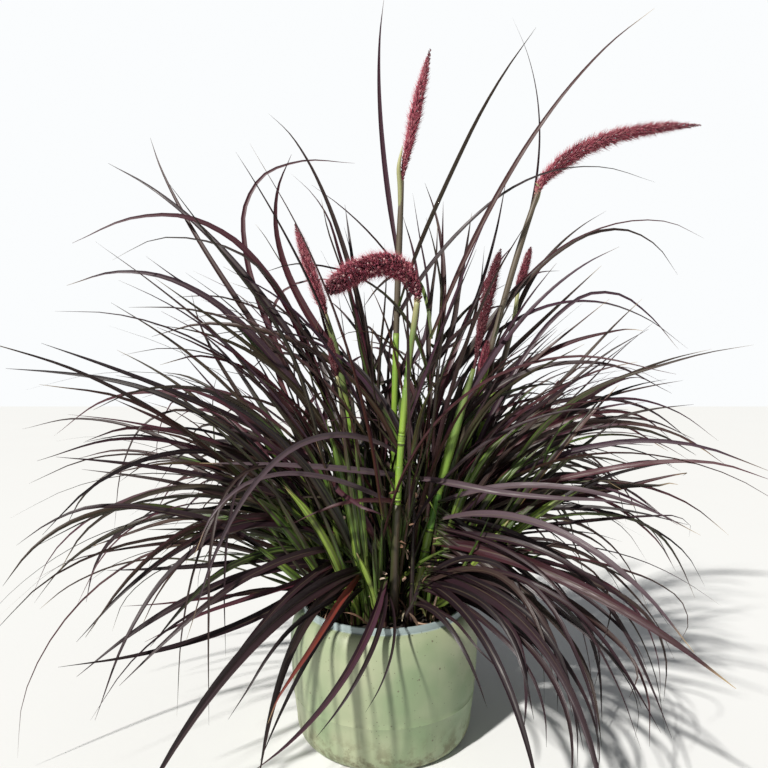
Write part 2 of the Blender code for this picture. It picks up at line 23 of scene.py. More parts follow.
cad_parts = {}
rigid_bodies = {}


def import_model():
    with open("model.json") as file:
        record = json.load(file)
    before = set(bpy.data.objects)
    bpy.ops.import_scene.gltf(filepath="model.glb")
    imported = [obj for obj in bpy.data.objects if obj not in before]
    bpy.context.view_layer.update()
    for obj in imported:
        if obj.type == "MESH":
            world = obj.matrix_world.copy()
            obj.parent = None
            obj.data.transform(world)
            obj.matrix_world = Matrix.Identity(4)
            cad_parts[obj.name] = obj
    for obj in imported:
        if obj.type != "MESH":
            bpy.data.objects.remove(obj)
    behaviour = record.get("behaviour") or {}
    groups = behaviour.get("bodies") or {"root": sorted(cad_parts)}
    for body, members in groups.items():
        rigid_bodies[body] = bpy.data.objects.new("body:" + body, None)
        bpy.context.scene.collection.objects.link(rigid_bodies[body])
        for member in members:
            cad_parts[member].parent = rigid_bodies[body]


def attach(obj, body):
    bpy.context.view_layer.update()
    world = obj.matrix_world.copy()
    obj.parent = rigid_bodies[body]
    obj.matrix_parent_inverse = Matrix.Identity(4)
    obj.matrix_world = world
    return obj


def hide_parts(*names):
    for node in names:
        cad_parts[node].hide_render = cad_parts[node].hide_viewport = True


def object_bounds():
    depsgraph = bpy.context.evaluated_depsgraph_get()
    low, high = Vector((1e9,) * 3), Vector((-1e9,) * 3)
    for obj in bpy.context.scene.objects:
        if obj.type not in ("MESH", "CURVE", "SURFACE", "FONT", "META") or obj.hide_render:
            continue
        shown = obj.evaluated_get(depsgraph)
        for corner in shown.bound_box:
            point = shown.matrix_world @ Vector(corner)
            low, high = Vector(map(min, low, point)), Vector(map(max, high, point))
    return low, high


for leftover in list(bpy.data.objects):
    bpy.data.objects.remove(leftover)
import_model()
SOLID_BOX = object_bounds()

log = logging.getLogger("fountain_grass")

Pair = tuple[float, float]
Triple = tuple[float, float, float]
Colour = tuple[float, float, float]
Stop = tuple[float, Colour]
Mesh = bmesh.types.BMesh
Material = bpy.types.Material
Socket = bpy.types.NodeSocket

BODY = "root"
# Where the clump is looked at from
EYE: Triple = (0.0, -0.85, 0.465)
UP = Vector((0.0, 0.0, 1.0))


# ---- The layout: where every stem, shoot, blade and plume lies ----

@dataclass(frozen=True)
class Arc:
    """A blade that leaves its shoot at a share of the shoot's length."""

    along: float
    middle: Triple
    tip: Triple
    width: float
    tone: Optional[float] = None


@dataclass(frozen=True)
class ShootPlan:
    """A leafy shoot: where it ends, and its blades."""

    top: Triple
    arcs: tuple[Arc, ...]


@dataclass(frozen=True)
class StemPlan:
    """A flower stem through its middle to its top, and its plume to the tip."""

    root: Pair
    middle: Triple
    top: Triple
    plume_middle: Triple
    plume_tip: Triple
    plume_radius: float
    flag: tuple[Arc, ...]


# The flower stems, from the tall one at the back to the small ones coming out
FLOWER_STEMS = (
    StemPlan((0.01, 0.02), (0.015, 0.02, 0.445), (0.025, 0.02, 0.75),
             (0.043, 0.02, 0.84), (0.065, 0.02, 0.935), 0.015,
             (Arc(0.84, (-0.006, 0.045, 0.86), (0.0, 0.05, 1.025), 0.009),)),
    StemPlan((0.07, 0.03), (0.145, 0.035, 0.485), (0.225, 0.045, 0.75),
             (0.305, 0.025, 0.807), (0.435, 0.0, 0.82), 0.0135,
             (Arc(0.84, (0.234, 0.085, 0.86), (0.195, 0.09, 1.02), 0.008),)),
    StemPlan((0.035, -0.03), (0.075, -0.025, 0.33), (0.12, -0.02, 0.485),
             (0.14, -0.01, 0.58), (0.16, 0.0, 0.65), 0.01,
             (Arc(0.8, (0.19, -0.045, 0.56), (0.3, -0.06, 0.64), 0.01),)),
    StemPlan((0.055, 0.0), (0.096, 0.016, 0.33), (0.136, 0.022, 0.48),
             (0.141, 0.022, 0.5), (0.146, 0.022, 0.525), 0.006,
             (Arc(0.85, (0.19, 0.06, 0.59), (0.285, 0.08, 0.64), 0.009),)),
    StemPlan((0.065, 0.05), (0.16, 0.08, 0.44), (0.205, 0.1, 0.605),
             (0.215, 0.1, 0.64), (0.225, 0.1, 0.675), 0.008,
             (Arc(0.8, (0.255, 0.13, 0.66), (0.36, 0.15, 0.745), 0.009),)),
    StemPlan((0.018, -0.06), (0.02, -0.085, 0.375), (0.04, -0.105, 0.565),
             (0.005, -0.12, 0.606), (-0.065, -0.15, 0.57), 0.015,
             (Arc(0.6, (0.08, -0.125, 0.56), (0.13, -0.12, 0.68), 0.008),)),
    StemPlan((-0.02, 0.0), (-0.045, 0.0, 0.4), (-0.08, 0.0, 0.56),
             (-0.104, 0.0, 0.63), (-0.122, 0.0, 0.685), 0.0095,
             (Arc(0.9, (-0.12, -0.04, 0.64), (-0.19, -0.06, 0.76), 0.009),)),
    StemPlan((-0.03, -0.04), (-0.045, -0.04, 0.35), (-0.062, -0.04, 0.475),
             (-0.067, -0.04, 0.5), (-0.07, -0.04, 0.525), 0.0065,
             (Arc(0.85, (-0.11, -0.07, 0.54), (-0.19, -0.09, 0.59), 0.009),)),
    StemPlan((0.068, 0.012), (0.15, 0.045, 0.34), (0.23, 0.055, 0.42),
             (0.245, 0.055, 0.445), (0.255, 0.055, 0.47), 0.006,
             (Arc(0.8, (0.29, 0.02, 0.44), (0.41, 0.0, 0.47), 0.009),)),
)

# The shoots whose blades are drawn one by one
DRAWN_SHOOTS = (
    # Right of the middle, tall
    ShootPlan((0.075, 0.0, 0.54), (
        Arc(0.97, (0.205, -0.01, 0.805), (0.36, -0.025, 0.965), 0.01),
        Arc(0.8, (0.085, 0.03, 0.62), (0.06, 0.06, 0.76), 0.011),
        Arc(0.65, (0.12, 0.04, 0.56), (0.2, 0.1, 0.68), 0.012))),
    # Left, high arches
    ShootPlan((-0.07, 0.02, 0.445), (
        Arc(0.95, (-0.235, 0.055, 0.66), (-0.425, 0.105, 0.805), 0.012),
        Arc(0.85, (-0.21, 0.0, 0.665), (-0.41, -0.035, 0.65), 0.013),
        Arc(0.75, (-0.245, 0.0, 0.585), (-0.435, 0.0, 0.6), 0.013))),
    ShootPlan((-0.12, 0.045, 0.47), (
        Arc(0.95, (-0.285, 0.09, 0.69), (-0.375, 0.145, 0.86), 0.01),
        Arc(0.75, (-0.22, 0.01, 0.52), (-0.375, -0.045, 0.65), 0.011),
        Arc(0.9, (-0.21, 0.09, 0.735), (-0.045, 0.105, 0.805), 0.01))),
    ShootPlan((-0.015, 0.035, 0.5), (
        Arc(0.95, (-0.085, 0.055, 0.735), (-0.175, 0.09, 0.875), 0.01),
        Arc(0.85, (-0.145, 0.045, 0.64), (-0.135, 0.055, 0.8), 0.014),
        Arc(0.7, (-0.04, 0.06, 0.6), (-0.06, 0.1, 0.74), 0.011))),
    # Left, middle height
    ShootPlan((-0.08, 0.0, 0.355), (
        Arc(0.95, (-0.215, -0.055, 0.43), (-0.42, -0.09, 0.515), 0.016),
        Arc(0.85, (-0.215, -0.09, 0.395), (-0.365, -0.135, 0.43), 0.011),
        Arc(0.75, (-0.275, -0.035, 0.43), (-0.335, -0.08, 0.285), 0.01))),
    ShootPlan((-0.07, -0.045, 0.3), (
        Arc(0.95, (-0.2, -0.105, 0.35), (-0.36, -0.17, 0.385), 0.013),
        Arc(0.85, (-0.195, -0.135, 0.295), (-0.31, -0.225, 0.205), 0.012),
        Arc(0.7, (-0.185, -0.09, 0.245), (-0.32, -0.135, 0.25), 0.012))),
    ShootPlan((-0.05, -0.06, 0.265), (
        Arc(0.95, (-0.195, -0.17, 0.29), (-0.275, -0.26, 0.145), 0.012),
        Arc(0.85, (-0.155, -0.18, 0.205), (-0.305, -0.27, 0.2), 0.012),
        Arc(0.75, (-0.185, -0.135, 0.235), (-0.315, -0.215, 0.165), 0.013))),
    # Left front, hanging past the pot
    ShootPlan((-0.03, -0.07, 0.235), (
        Arc(0.95, (-0.125, -0.24, 0.215), (-0.21, -0.33, 0.1), 0.017),
        Arc(0.85, (-0.09, -0.18, 0.2), (-0.12, -0.26, 0.085), 0.014),
        Arc(0.7, (-0.075, -0.165, 0.178), (-0.125, -0.225, 0.085), 0.009))),
    ShootPlan((0.002, -0.07, 0.225), (
        Arc(0.95, (-0.045, -0.19, 0.15), (-0.13, -0.245, 0.085), 0.013),
        Arc(0.85, (-0.015, -0.17, 0.17), (-0.07, -0.21, 0.1), 0.009),
        Arc(0.75, (0.01, -0.16, 0.175), (-0.02, -0.19, 0.115), 0.006))),
    # Across the front
    ShootPlan((0.04, -0.045, 0.365), (
        Arc(0.98, (-0.1, -0.18, 0.395), (-0.185, -0.27, 0.225), 0.01),
        Arc(0.9, (-0.075, -0.105, 0.365), (-0.21, -0.145, 0.375), 0.011),
        Arc(0.7, (-0.09, -0.195, 0.365), (-0.15, -0.27, 0.29), 0.01))),
    ShootPlan((0.07, -0.055, 0.315), (
        Arc(0.98, (0.205, -0.135, 0.345), (0.345, -0.175, 0.3), 0.012),
        Arc(0.85, (0.19, -0.18, 0.305), (0.3, -0.25, 0.205), 0.011),
        Arc(0.7, (0.2, -0.17, 0.25), (0.335, -0.26, 0.175), 0.017))),
    # Right front, hanging past the pot
    ShootPlan((0.055, -0.07, 0.235), (
        Arc(0.95, (0.155, -0.24, 0.21), (0.185, -0.34, 0.085), 0.015),
        Arc(0.8, (0.11, -0.205, 0.19), (0.145, -0.285, 0.07), 0.012),
        Arc(0.65, (0.125, -0.17, 0.255), (0.165, -0.245, 0.18), 0.01),
        Arc(0.5, (0.075, -0.15, 0.19), (0.11, -0.19, 0.12), 0.008))),
    # Right, high and middle
    ShootPlan((0.065, 0.08, 0.43), (
        Arc(0.98, (0.26, 0.095, 0.585), (0.47, 0.135, 0.52), 0.011),
        Arc(0.85, (0.205, 0.11, 0.525), (0.34, 0.12, 0.65), 0.01),
        Arc(0.75, (0.18, 0.14, 0.47), (0.29, 0.19, 0.56), 0.011))),
    ShootPlan((0.11, 0.0, 0.335), (
        Arc(0.95, (0.28, 0.0, 0.45), (0.47, 0.04, 0.515), 0.014),
        Arc(0.85, (0.305, 0.08, 0.44), (0.49, 0.12, 0.38), 0.01),
        Arc(0.75, (0.27, -0.045, 0.41), (0.42, -0.09, 0.365), 0.01))),
    ShootPlan((0.112, -0.03, 0.262), (
        Arc(0.95, (0.31, 0.045, 0.36), (0.48, 0.08, 0.41), 0.013),
        Arc(0.85, (0.28, -0.045, 0.2), (0.345, -0.09, 0.035), 0.01),
        Arc(0.7, (0.23, -0.07, 0.2), (0.255, -0.125, 0.03), 0.009))),
)

# The tones of the front blades with a painted pale sheen, and of a crimson and a rust-red blade
SHEEN_TONE = 0.925
CRIMSON_TONE = 0.895
RUST_TONE = 0.95
# More leaves of the drawn shoots, by shoot number, drawn like the others
MORE_ARCS: dict[int, tuple[Arc, ...]] = {
    # The upright tuft right of the middle, and the arch over it
    1: (Arc(0.95, (0.08, 0.03, 0.556), (0.089, 0.03, 0.726), 0.008),
        Arc(0.9, (0.097, 0.03, 0.542), (0.118, 0.03, 0.699), 0.009),
        Arc(0.85, (0.111, 0.03, 0.513), (0.139, 0.03, 0.651), 0.007),
        Arc(0.95, (0.122, 0.02, 0.556), (0.169, 0.02, 0.757), 0.006),
        Arc(0.7, (0.068, 0.03, 0.527), (0.071, 0.03, 0.691), 0.008)),
    4: (Arc(0.9, (0.058, 0.03, 0.542), (0.051, 0.03, 0.74), 0.009),
        Arc(0.85, (0.04, 0.03, 0.54), (0.027, 0.03, 0.709), 0.008),
        Arc(0.95, (0.145, 0.0, 0.712), (0.365, 0.0, 0.741), 0.009),
        Arc(0.6, (-0.004, 0.02, 0.5), (0.004, 0.02, 0.66), 0.011),
        Arc(0.5, (0.012, 0.03, 0.46), (0.024, 0.04, 0.62), 0.01),
        Arc(0.4, (-0.02, 0.03, 0.47), (-0.032, 0.04, 0.6), 0.01),
        Arc(0.5, (-0.03, 0.0, 0.4), (-0.052, 0.01, 0.52), 0.011)),
    # The high arches on the right
    13: (Arc(0.95, (0.28, 0.06, 0.676), (0.427, 0.06, 0.629), 0.016),
         Arc(0.85, (0.256, 0.05, 0.522), (0.379, 0.05, 0.542), 0.013)),
    14: (Arc(0.9, (0.271, 0.03, 0.581), (0.427, 0.03, 0.52), 0.008),
         Arc(0.9, (0.231, -0.05, 0.394), (0.33, -0.05, 0.394), 0.012),
         Arc(0.8, (0.286, -0.05, 0.355), (0.369, -0.05, 0.366), 0.015),
         Arc(0.75, (0.308, -0.05, 0.338), (0.369, -0.06, 0.333), 0.016),
         Arc(0.95, (0.248, -0.04, 0.421), (0.369, -0.05, 0.394), 0.009),
         Arc(0.6, (0.32, -0.06, 0.295), (0.369, -0.08, 0.273), 0.011),
         Arc(0.7, (0.33, -0.04, 0.338), (0.385, -0.05, 0.346), 0.013),
         Arc(0.95, (0.286, -0.03, 0.455), (0.35, -0.03, 0.475), 0.011)),
    # Across the front, at the height of the drawn ones
    5: (Arc(1.0, (-0.046, -0.11, 0.332), (0.005, -0.12, 0.303), 0.009),),
    # The first blade of shoot 10 takes the painted sheen tone
    10: (Arc(0.9, (0.135, -0.13, 0.342), (0.289, -0.15, 0.32), 0.0095, SHEEN_TONE),
         Arc(0.75, (-0.046, -0.12, 0.325), (-0.111, -0.12, 0.299), 0.009)),
    # Left, hanging in front of the lower mass
    6: (Arc(0.95, (-0.162, -0.17, 0.36), (-0.175, -0.24, 0.134), 0.005),
        Arc(0.9, (-0.18, -0.15, 0.334), (-0.212, -0.22, 0.122), 0.0045),
        Arc(0.85, (-0.159, -0.14, 0.367), (-0.176, -0.17, 0.168), 0.0045)),
    # Left of the pot
    7: (Arc(0.9, (-0.134, -0.17, 0.255), (-0.248, -0.25, 0.169), 0.01),
        Arc(0.8, (-0.142, -0.17, 0.228), (-0.238, -0.22, 0.205), 0.008),
        Arc(0.85, (-0.123, -0.18, 0.221), (-0.19, -0.26, 0.131), 0.009)),
    8: (Arc(0.9, (-0.07, -0.19, 0.195), (-0.114, -0.25, 0.129), 0.009, RUST_TONE),
        Arc(0.75, (-0.09, -0.19, 0.208), (-0.157, -0.25, 0.145), 0.007)),
    # Right of the pot, a dense bundle
    11: (Arc(0.9, (0.216, -0.15, 0.249), (0.298, -0.2, 0.097), 0.008),
         Arc(0.8, (0.19, -0.18, 0.242), (0.261, -0.23, 0.097), 0.006),
         Arc(0.85, (0.229, -0.14, 0.252), (0.237, -0.16, 0.163), 0.004),
         Arc(0.75, (0.199, -0.15, 0.266), (0.293, -0.18, 0.188), 0.0095),
         Arc(0.85, (0.211, -0.17, 0.2), (0.252, -0.24, 0.14), 0.01),
         Arc(0.8, (0.193, -0.17, 0.19), (0.22, -0.22, 0.1), 0.01),
         Arc(0.75, (0.182, -0.19, 0.18), (0.204, -0.25, 0.08), 0.012),
         Arc(0.95, (0.237, -0.17, 0.185), (0.259, -0.21, 0.09), 0.009),
         Arc(0.9, (0.23, -0.14, 0.22), (0.273, -0.19, 0.16), 0.011)),
    12: (Arc(0.95, (0.142, -0.2, 0.228), (0.193, -0.27, 0.127), 0.009),
         Arc(0.9, (0.178, -0.19, 0.238), (0.267, -0.24, 0.115), 0.009),
         Arc(0.85, (0.166, -0.21, 0.242), (0.206, -0.25, 0.093), 0.007),
         Arc(0.6, (0.087, -0.17, 0.193), (0.122, -0.2, 0.16), 0.005),
         Arc(0.8, (0.12, -0.15, 0.266), (0.147, -0.2, 0.197), 0.009),
         Arc(0.7, (0.127, -0.2, 0.197), (0.159, -0.25, 0.116), 0.008),
         Arc(0.9, (0.171, -0.21, 0.17), (0.172, -0.26, 0.08), 0.011),
         Arc(0.85, (0.132, -0.2, 0.205), (0.14, -0.25, 0.12), 0.011),
         Arc(0.8, (0.158, -0.2, 0.19), (0.182, -0.26, 0.1), 0.012),
         Arc(0.75, (0.124, -0.19, 0.22), (0.151, -0.25, 0.14), 0.01),
         Arc(0.95, (0.148, -0.18, 0.23), (0.196, -0.23, 0.13), 0.01)),
    15: (Arc(0.9, (0.262, -0.06, 0.241), (0.348, -0.09, 0.127), 0.009),
         Arc(0.8, (0.292, -0.05, 0.206), (0.337, -0.08, 0.073), 0.007),
         Arc(0.75, (0.216, -0.09, 0.2), (0.243, -0.12, 0.105), 0.006),
         Arc(0.9, (0.241, -0.15, 0.2), (0.251, -0.2, 0.14), 0.01),
         Arc(0.85, (0.278, -0.12, 0.215), (0.313, -0.16, 0.11), 0.009),
         Arc(0.95, (0.31, -0.1, 0.235), (0.344, -0.13, 0.15), 0.009),
         Arc(0.7, (0.24, -0.12, 0.19), (0.281, -0.18, 0.07), 0.008)),
}


@dataclass(frozen=True)
class Stalk:
    """A fresh green stalk, drawn from its root through its middle to its top."""

    root: Pair
    middle: Triple
    top: Triple
    width: float

    def course(self) -> "Line":
        """The smooth line through its three places."""
        root = Vector((*self.root, POT.soil_top))
        return Line(through(root, self.middle, self.top, 4), [])

    def line(self) -> "Line":
        """The stalk's line with its widths, upright where it leaves the soil."""
        points = self.course().points
        return stem_line(points[0], points, self.width, 0.75 * self.width)


# The fresh stalks that show at the clump's lower left and right, by shoot number
MORE_STALKS: dict[int, tuple[Stalk, ...]] = {
    5: (Stalk((-0.025, -0.055), (-0.042, -0.085, 0.303), (-0.072, -0.085, 0.421), 0.011),
        Stalk((-0.018, -0.055), (-0.031, -0.08, 0.303), (-0.054, -0.08, 0.408), 0.0095),
        Stalk((-0.008, -0.072), (-0.015, -0.095, 0.215), (-0.033, -0.105, 0.262), 0.01)),
    7: (Stalk((-0.035, -0.06), (-0.068, -0.105, 0.272), (-0.12, -0.115, 0.346), 0.0125),
        Stalk((-0.045, -0.055), (-0.097, -0.1, 0.262), (-0.156, -0.115, 0.335), 0.012),
        Stalk((-0.05, -0.055), (-0.095, -0.11, 0.226), (-0.152, -0.13, 0.28), 0.011)),
    14: (Stalk((0.06, -0.03), (0.106, -0.07, 0.338), (0.18, -0.075, 0.417), 0.0095),
         Stalk((0.07, -0.03), (0.17, -0.075, 0.32), (0.27, -0.08, 0.448), 0.0105),
         Stalk((0.065, -0.02), (0.115, -0.06, 0.29), (0.183, -0.065, 0.378), 0.0125)),
    15: (Stalk((0.07, -0.03), (0.155, -0.08, 0.275), (0.25, -0.09, 0.342), 0.013),
         Stalk((0.06, -0.045), (0.098, -0.09, 0.228), (0.153, -0.1, 0.303), 0.011),
         Stalk((0.066, -0.025), (0.124, -0.085, 0.262), (0.186, -0.095, 0.322), 0.012),
         Stalk((0.07, -0.04), (0.12, -0.095, 0.228), (0.19, -0.11, 0.262), 0.0095)),
}


@dataclass(frozen=True)
class PotSizes:
    """The sizes of the pot and of its soil."""

    height: float = 0.172
    rim_radius: float = 0.109
    body_radius: float = 0.1265
    waist_radius: float = 0.1175
    foot_radius: float = 0.103
    wall: float = 0.0035
    lip_height: float = 0.008
    shoulder_drop: float = 0.04
    foot_round: float = 0.026
    floor: float = 0.006
    soil_top: float = 0.16

    @property
    def neck(self) -> float:
        """The height where the lip stands on the shoulder."""
        return self.height - self.lip_height


POT = PotSizes()


@dataclass(frozen=True)
class Rule:
    """The rule that the clump grows by, with angles in degrees."""

    gap: float = 0.0003
    crown_radius: float = 0.078
    foot_rise: float = 0.01
    golden_angle: float = 137.508
    shoot_count: int = 36
    shoot_pieces: int = 2
    shoot_radius: float = 0.0038
    shoot_bow: float = 0.06
    stem_radius: float = 0.0048
    stem_top_radius: float = 0.0024
    stem_pieces: int = 6
    plume_pieces: int = 6
    blade_width: float = 0.011
    blade_pieces: int = 6
    grown_pieces: int = 5
    blade_keel: float = 0.12
    blade_tip: float = 0.06
    blade_foot: float = 0.0024
    plume_gap: float = 0.0002
    plume_neck: float = 0.004
    floor_clearance: float = 0.012
    pot_clearance: float = 0.011
    rim_clearance: float = 0.008
    soil_clearance: float = 0.004
    band_clearance: float = 0.0009
    seed: int = 7
    shoot_wander: Pair = (-12, 12)
    shoot_rise: float = 83
    shoot_rise_spread: Pair = (-4, 4)
    shoot_rise_front: float = 12
    shoot_lean: float = 36
    shoot_rise_limit: float = 85
    shoot_fall: float = 10
    shoot_length: Pair = (0.1, 0.22)
    blades_a_shoot: int = 3
    first_blade: float = 0.6
    blade_spacing: float = 0.18
    blade_aside: Pair = (15, 60)
    blade_lean: Pair = (2, 16)
    blade_lift_front: float = 14
    blade_fall: Pair = (65, 130)
    blade_fall_front: float = 0.55
    blade_length: Pair = (0.3, 0.46)
    blade_swing: Pair = (-20, 20)
    blade_size: Pair = (0.8, 1.2)
    shoot_turn: float = 30
    flag_turn: float = 15
    drawn_turn: float = 27
    grown_turn: float = 30
    turn_step: float = 1.5


RULE = Rule()


@dataclass
class Band:
    """Straight pieces of a stem or blade with the half sizes of its section."""

    start: np.ndarray
    end: np.ndarray
    across: np.ndarray
    face: np.ndarray
    half_width: np.ndarray
    half_depth: np.ndarray

    def facing(self, axis: int) -> "Band":
        """The band with its pieces along one axis of a table of pairs."""
        parts = (self.start, self.end, self.across, self.face, self.half_width, self.half_depth)
        return Band(*(np.expand_dims(part, axis) for part in parts))

    def reach(self, toward: np.ndarray) -> np.ndarray:
        """How far the section reaches along a direction."""
        wide = self.half_width * np.abs((self.across * toward).sum(-1))
        return wide + self.half_depth * np.abs((self.face * toward).sum(-1))

    def room_to(self, other: "Band") -> float:
        """The least room to another band, negative where the two meet.

        Args:
            other: The band to measure to.

        Returns:
            The least distance between the two surfaces, in metres.
        """
        one, two = self.facing(1), other.facing(0)
        own, others, offset = one.end - one.start, two.end - two.start, one.start - two.start
        own_square, others_square = (own * own).sum(-1), (others * others).sum(-1)
        shared = (own * others).sum(-1)
        own_way, others_way = (own * offset).sum(-1), (others * offset).sum(-1)
        spread = np.maximum(own_square * others_square - shared * shared, 1e-12)
        near = np.clip((shared * others_way - own_way * others_square) / spread, 0.0, 1.0)
        far = np.clip((shared * near + others_way) / others_square, 0.0, 1.0)
        near = np.clip((shared * far - own_way) / own_square, 0.0, 1.0)
        apart = offset + own * near[..., None] - others * far[..., None]
        toward = unit(apart)
        room = np.linalg.norm(apart, axis=-1) - one.reach(toward) - two.reach(toward)
        return float(room.min())


@dataclass
class Line:
    """The middle line of a stem, blade or plume, with its width at each point."""

    points: list[Vector]
    widths: list[float]
    full_width: float = 0.0

    def band(self, depth_ratio: float) -> Band:
        """Find the straight pieces of the line.

        Args:
            depth_ratio: The section's depth as a share of its width.

        Returns:
            The band.
        """
        points = np.array([tuple(point) for point in self.points])
        widths = np.array(self.widths)
        along = unit(points[1:] - points[:-1])
        across = unit(np.cross(along, tuple(UP)) + np.array((1e-6, 0.0, 0.0)))
        half = 0.5 * np.maximum(widths[:-1], widths[1:])
        return Band(points[:-1], points[1:], across, np.cross(across, along), half,
                    half * depth_ratio)

    def turned(self, angle: float) -> "Line":
        """The line turned about the upright line through its first point.

        Args:
            angle: The turn in radians.

        Returns:
            The turned line.
        """
        start = self.points[0]
        cosine, sine = math.cos(angle), math.sin(angle)
        moved = []
        for point in self.points:
            x, y = point.x - start.x, point.y - start.y
            moved.append(Vector((start.x + cosine * x - sine * y,
                                 start.y + sine * x + cosine * y, point.z)))
        return replace(self, points=moved)

    def at(self, share: float) -> Vector:
        """Find a place on the way along the points.

        Args:
            share: The share of the way.

        Returns:
            The place.
        """
        place = share * (len(self.points) - 1)
        index = min(int(place), len(self.points) - 2)
        return self.points[index].lerp(self.points[index + 1], place - index)

    def smooth(self, pieces: int) -> list[Vector]:
        """Evenly spaced places on a smooth curve through the points.

        Args:
            pieces: How many steps the curve is cut into.

        Returns:
            One place more than there are steps.
        """
        points = self.points
        spans = [(after - before).length for before, after in zip(points, points[1:])]
        ways = [(after - before).normalized() for before, after in zip(points, points[1:])]
        pulls = [ways[0]]
        for index in range(1, len(ways)):
            near, far = spans[index - 1], spans[index]
            pulls.append((ways[index - 1] * far + ways[index] * near) / (near + far))
        pulls.append(ways[-1])
        total, places, span, passed = sum(spans), [], 0, 0.0
        for index in range(pieces + 1):
            wanted = total * index / pieces
            while span < len(spans) - 1 and wanted > passed + spans[span]:
                passed += spans[span]
                span += 1
            size = spans[span]
            part = min(1.0, (wanted - passed) / size)
            square, cube = part ** 2, part ** 3
            places.append(points[span] * (2 * cube - 3 * square + 1)
                          + pulls[span] * size * (cube - 2 * square + part)
                          + points[span + 1] * (3 * square - 2 * cube)
                          + pulls[span + 1] * size * (cube - square))
        return places

    def length(self) -> float:
        """The length along the points."""
        return sum((after - before).length for before, after in zip(self.points, self.points[1:]))


def unit(vectors: np.ndarray) -> np.ndarray:
    """Vectors scaled to length one."""
    return vectors / np.maximum(np.linalg.norm(vectors, axis=-1, keepdims=True), 1e-9)


def through(start: Vector, middle: Triple, tip: Triple, count: int) -> list[Vector]:
    """Points on a smooth arc from start through middle to tip.

    Args:
        start: The first point.
        middle: The point that the arc passes half way.
        tip: The last point.
        count: How many steps the arc is cut into.

    Returns:
        The points.
    """
    start, middle, tip = Vector(start), Vector(middle), Vector(tip)
    handle = 2.0 * middle - 0.5 * (start + tip)
    points = []
    for index in range(count + 1):
        part = index / count
        points.append((1 - part) ** 2 * start + 2 * part * (1 - part) * handle
                      + part * part * tip)
    return points


def smoothed(points: Sequence[Vector], pieces: int) -> list[Vector]:
    """Evenly spaced places on a smooth curve through the points."""
    return Line(list(points), []).smooth(pieces)


def arch(start: Vector, heading: float, rise: float, fall: float, length: float,
         swing: float, count: int) -> list[Vector]:
    """Points on a blade that rises, then falls over along its length.

    Args:
        start: The first point.
        heading: The direction that it leaves in, in radians about +Z.
        rise: The slope that it leaves at, in radians.
        fall: How much the slope falls by the tip, in radians.
        length: The length of the blade.
        swing: How much the heading turns by the tip, in radians.
        count: How many steps the blade is cut into.

    Returns:
        The points.
    """
    points = [Vector(start)]
    for index in range(count):
        share = (index + 0.5) / count
        slope = rise - fall * share ** 1.3
        turn = heading + swing * share ** 2
        flat = math.cos(slope)
        step = Vector((flat * math.cos(turn), flat * math.sin(turn), math.sin(slope)))
        points.append(points[-1] + step * length / count)
    return points


def blade_line(points: list[Vector], width: float) -> Line:
    """A blade along the points, whose narrow foot stays inside its shoot.

    Args:
        points: The blade's points.
        width: Its greatest width.

    Returns:
        The blade's line.
    """
    last = len(points) - 1
    widths = [RULE.blade_foot]
    for index in range(1, last + 1):
        share = index / last
        shape = min(1.0, 0.42 + 2.3 * share) * (1.0 - share ** 2.0) ** 0.8
        widths.append(width * max(RULE.blade_tip, shape))
    return Line(points, widths, width)


def stem_line(root: Vector, top_points: list[Vector], foot: float, top: float) -> Line:
    """A stem that stands upright in the soil and then follows the points.

    Args:
        root: Where it stands.
        top_points: The points that it follows, the first of them its root.
        foot: Its width at its foot.
        top: Its width at its top.

    Returns:
        The stem's line.
    """
    points = [Vector(root), Vector(root) + Vector((0.0, 0.0, RULE.foot_rise))] + top_points[1:]
    last = len(points) - 1
    return Line(points, [foot + (top - foot) * index / last for index in range(last + 1)], foot)


def plume_share(share: float) -> float:
    """A plume's thickness at a share of its length: a foxtail that tapers."""
    return max(0.1, min(1.0, 0.28 + 4.2 * share) * (1.0 - share ** 3.0) ** 0.7)


def clears_pot(points: Iterable[Vector]) -> bool:
    """Tell whether points stay off the pot, its soil and the floor.

    Args:
        points: The points.

    Returns:
        True where all of them do.
    """
    for point in points:
        outward = math.hypot(point.x, point.y)
        inner, outer = POT.rim_radius - RULE.pot_clearance, POT.body_radius + RULE.pot_clearance
        if point.z < RULE.floor_clearance:
            return False
        if inner < outward < outer and point.z < POT.height + RULE.rim_clearance:
            return False
        if outward < POT.rim_radius and point.z < POT.soil_top + RULE.soil_clearance:
            return False
    return True


def degrees_in(chance: random.Random, limits: Pair) -> float:
    """An angle between two limits in degrees, in radians."""
    return math.radians(chance.uniform(*limits))


def degrees_about(chance: random.Random, middle: float, spread: float) -> float:
    """An angle spread round a middle one, given in degrees, in radians."""
    return math.radians(chance.gauss(middle, spread))


def facing_front(heading: float) -> float:
    """How much a heading faces the front: 1 at the very front, 0 from the sides back."""
    return max(0.0, -math.sin(heading)) ** 2


@dataclass
class StemLines:
    """Where a flower stem, its flag blades and its plume lie."""

    stem: Line
    flags: list[Line]
    plume: Line


@dataclass
class ShootLines:
    """Where a leafy shoot and its blades lie."""

    stalk: Line
    blades: list[Line]


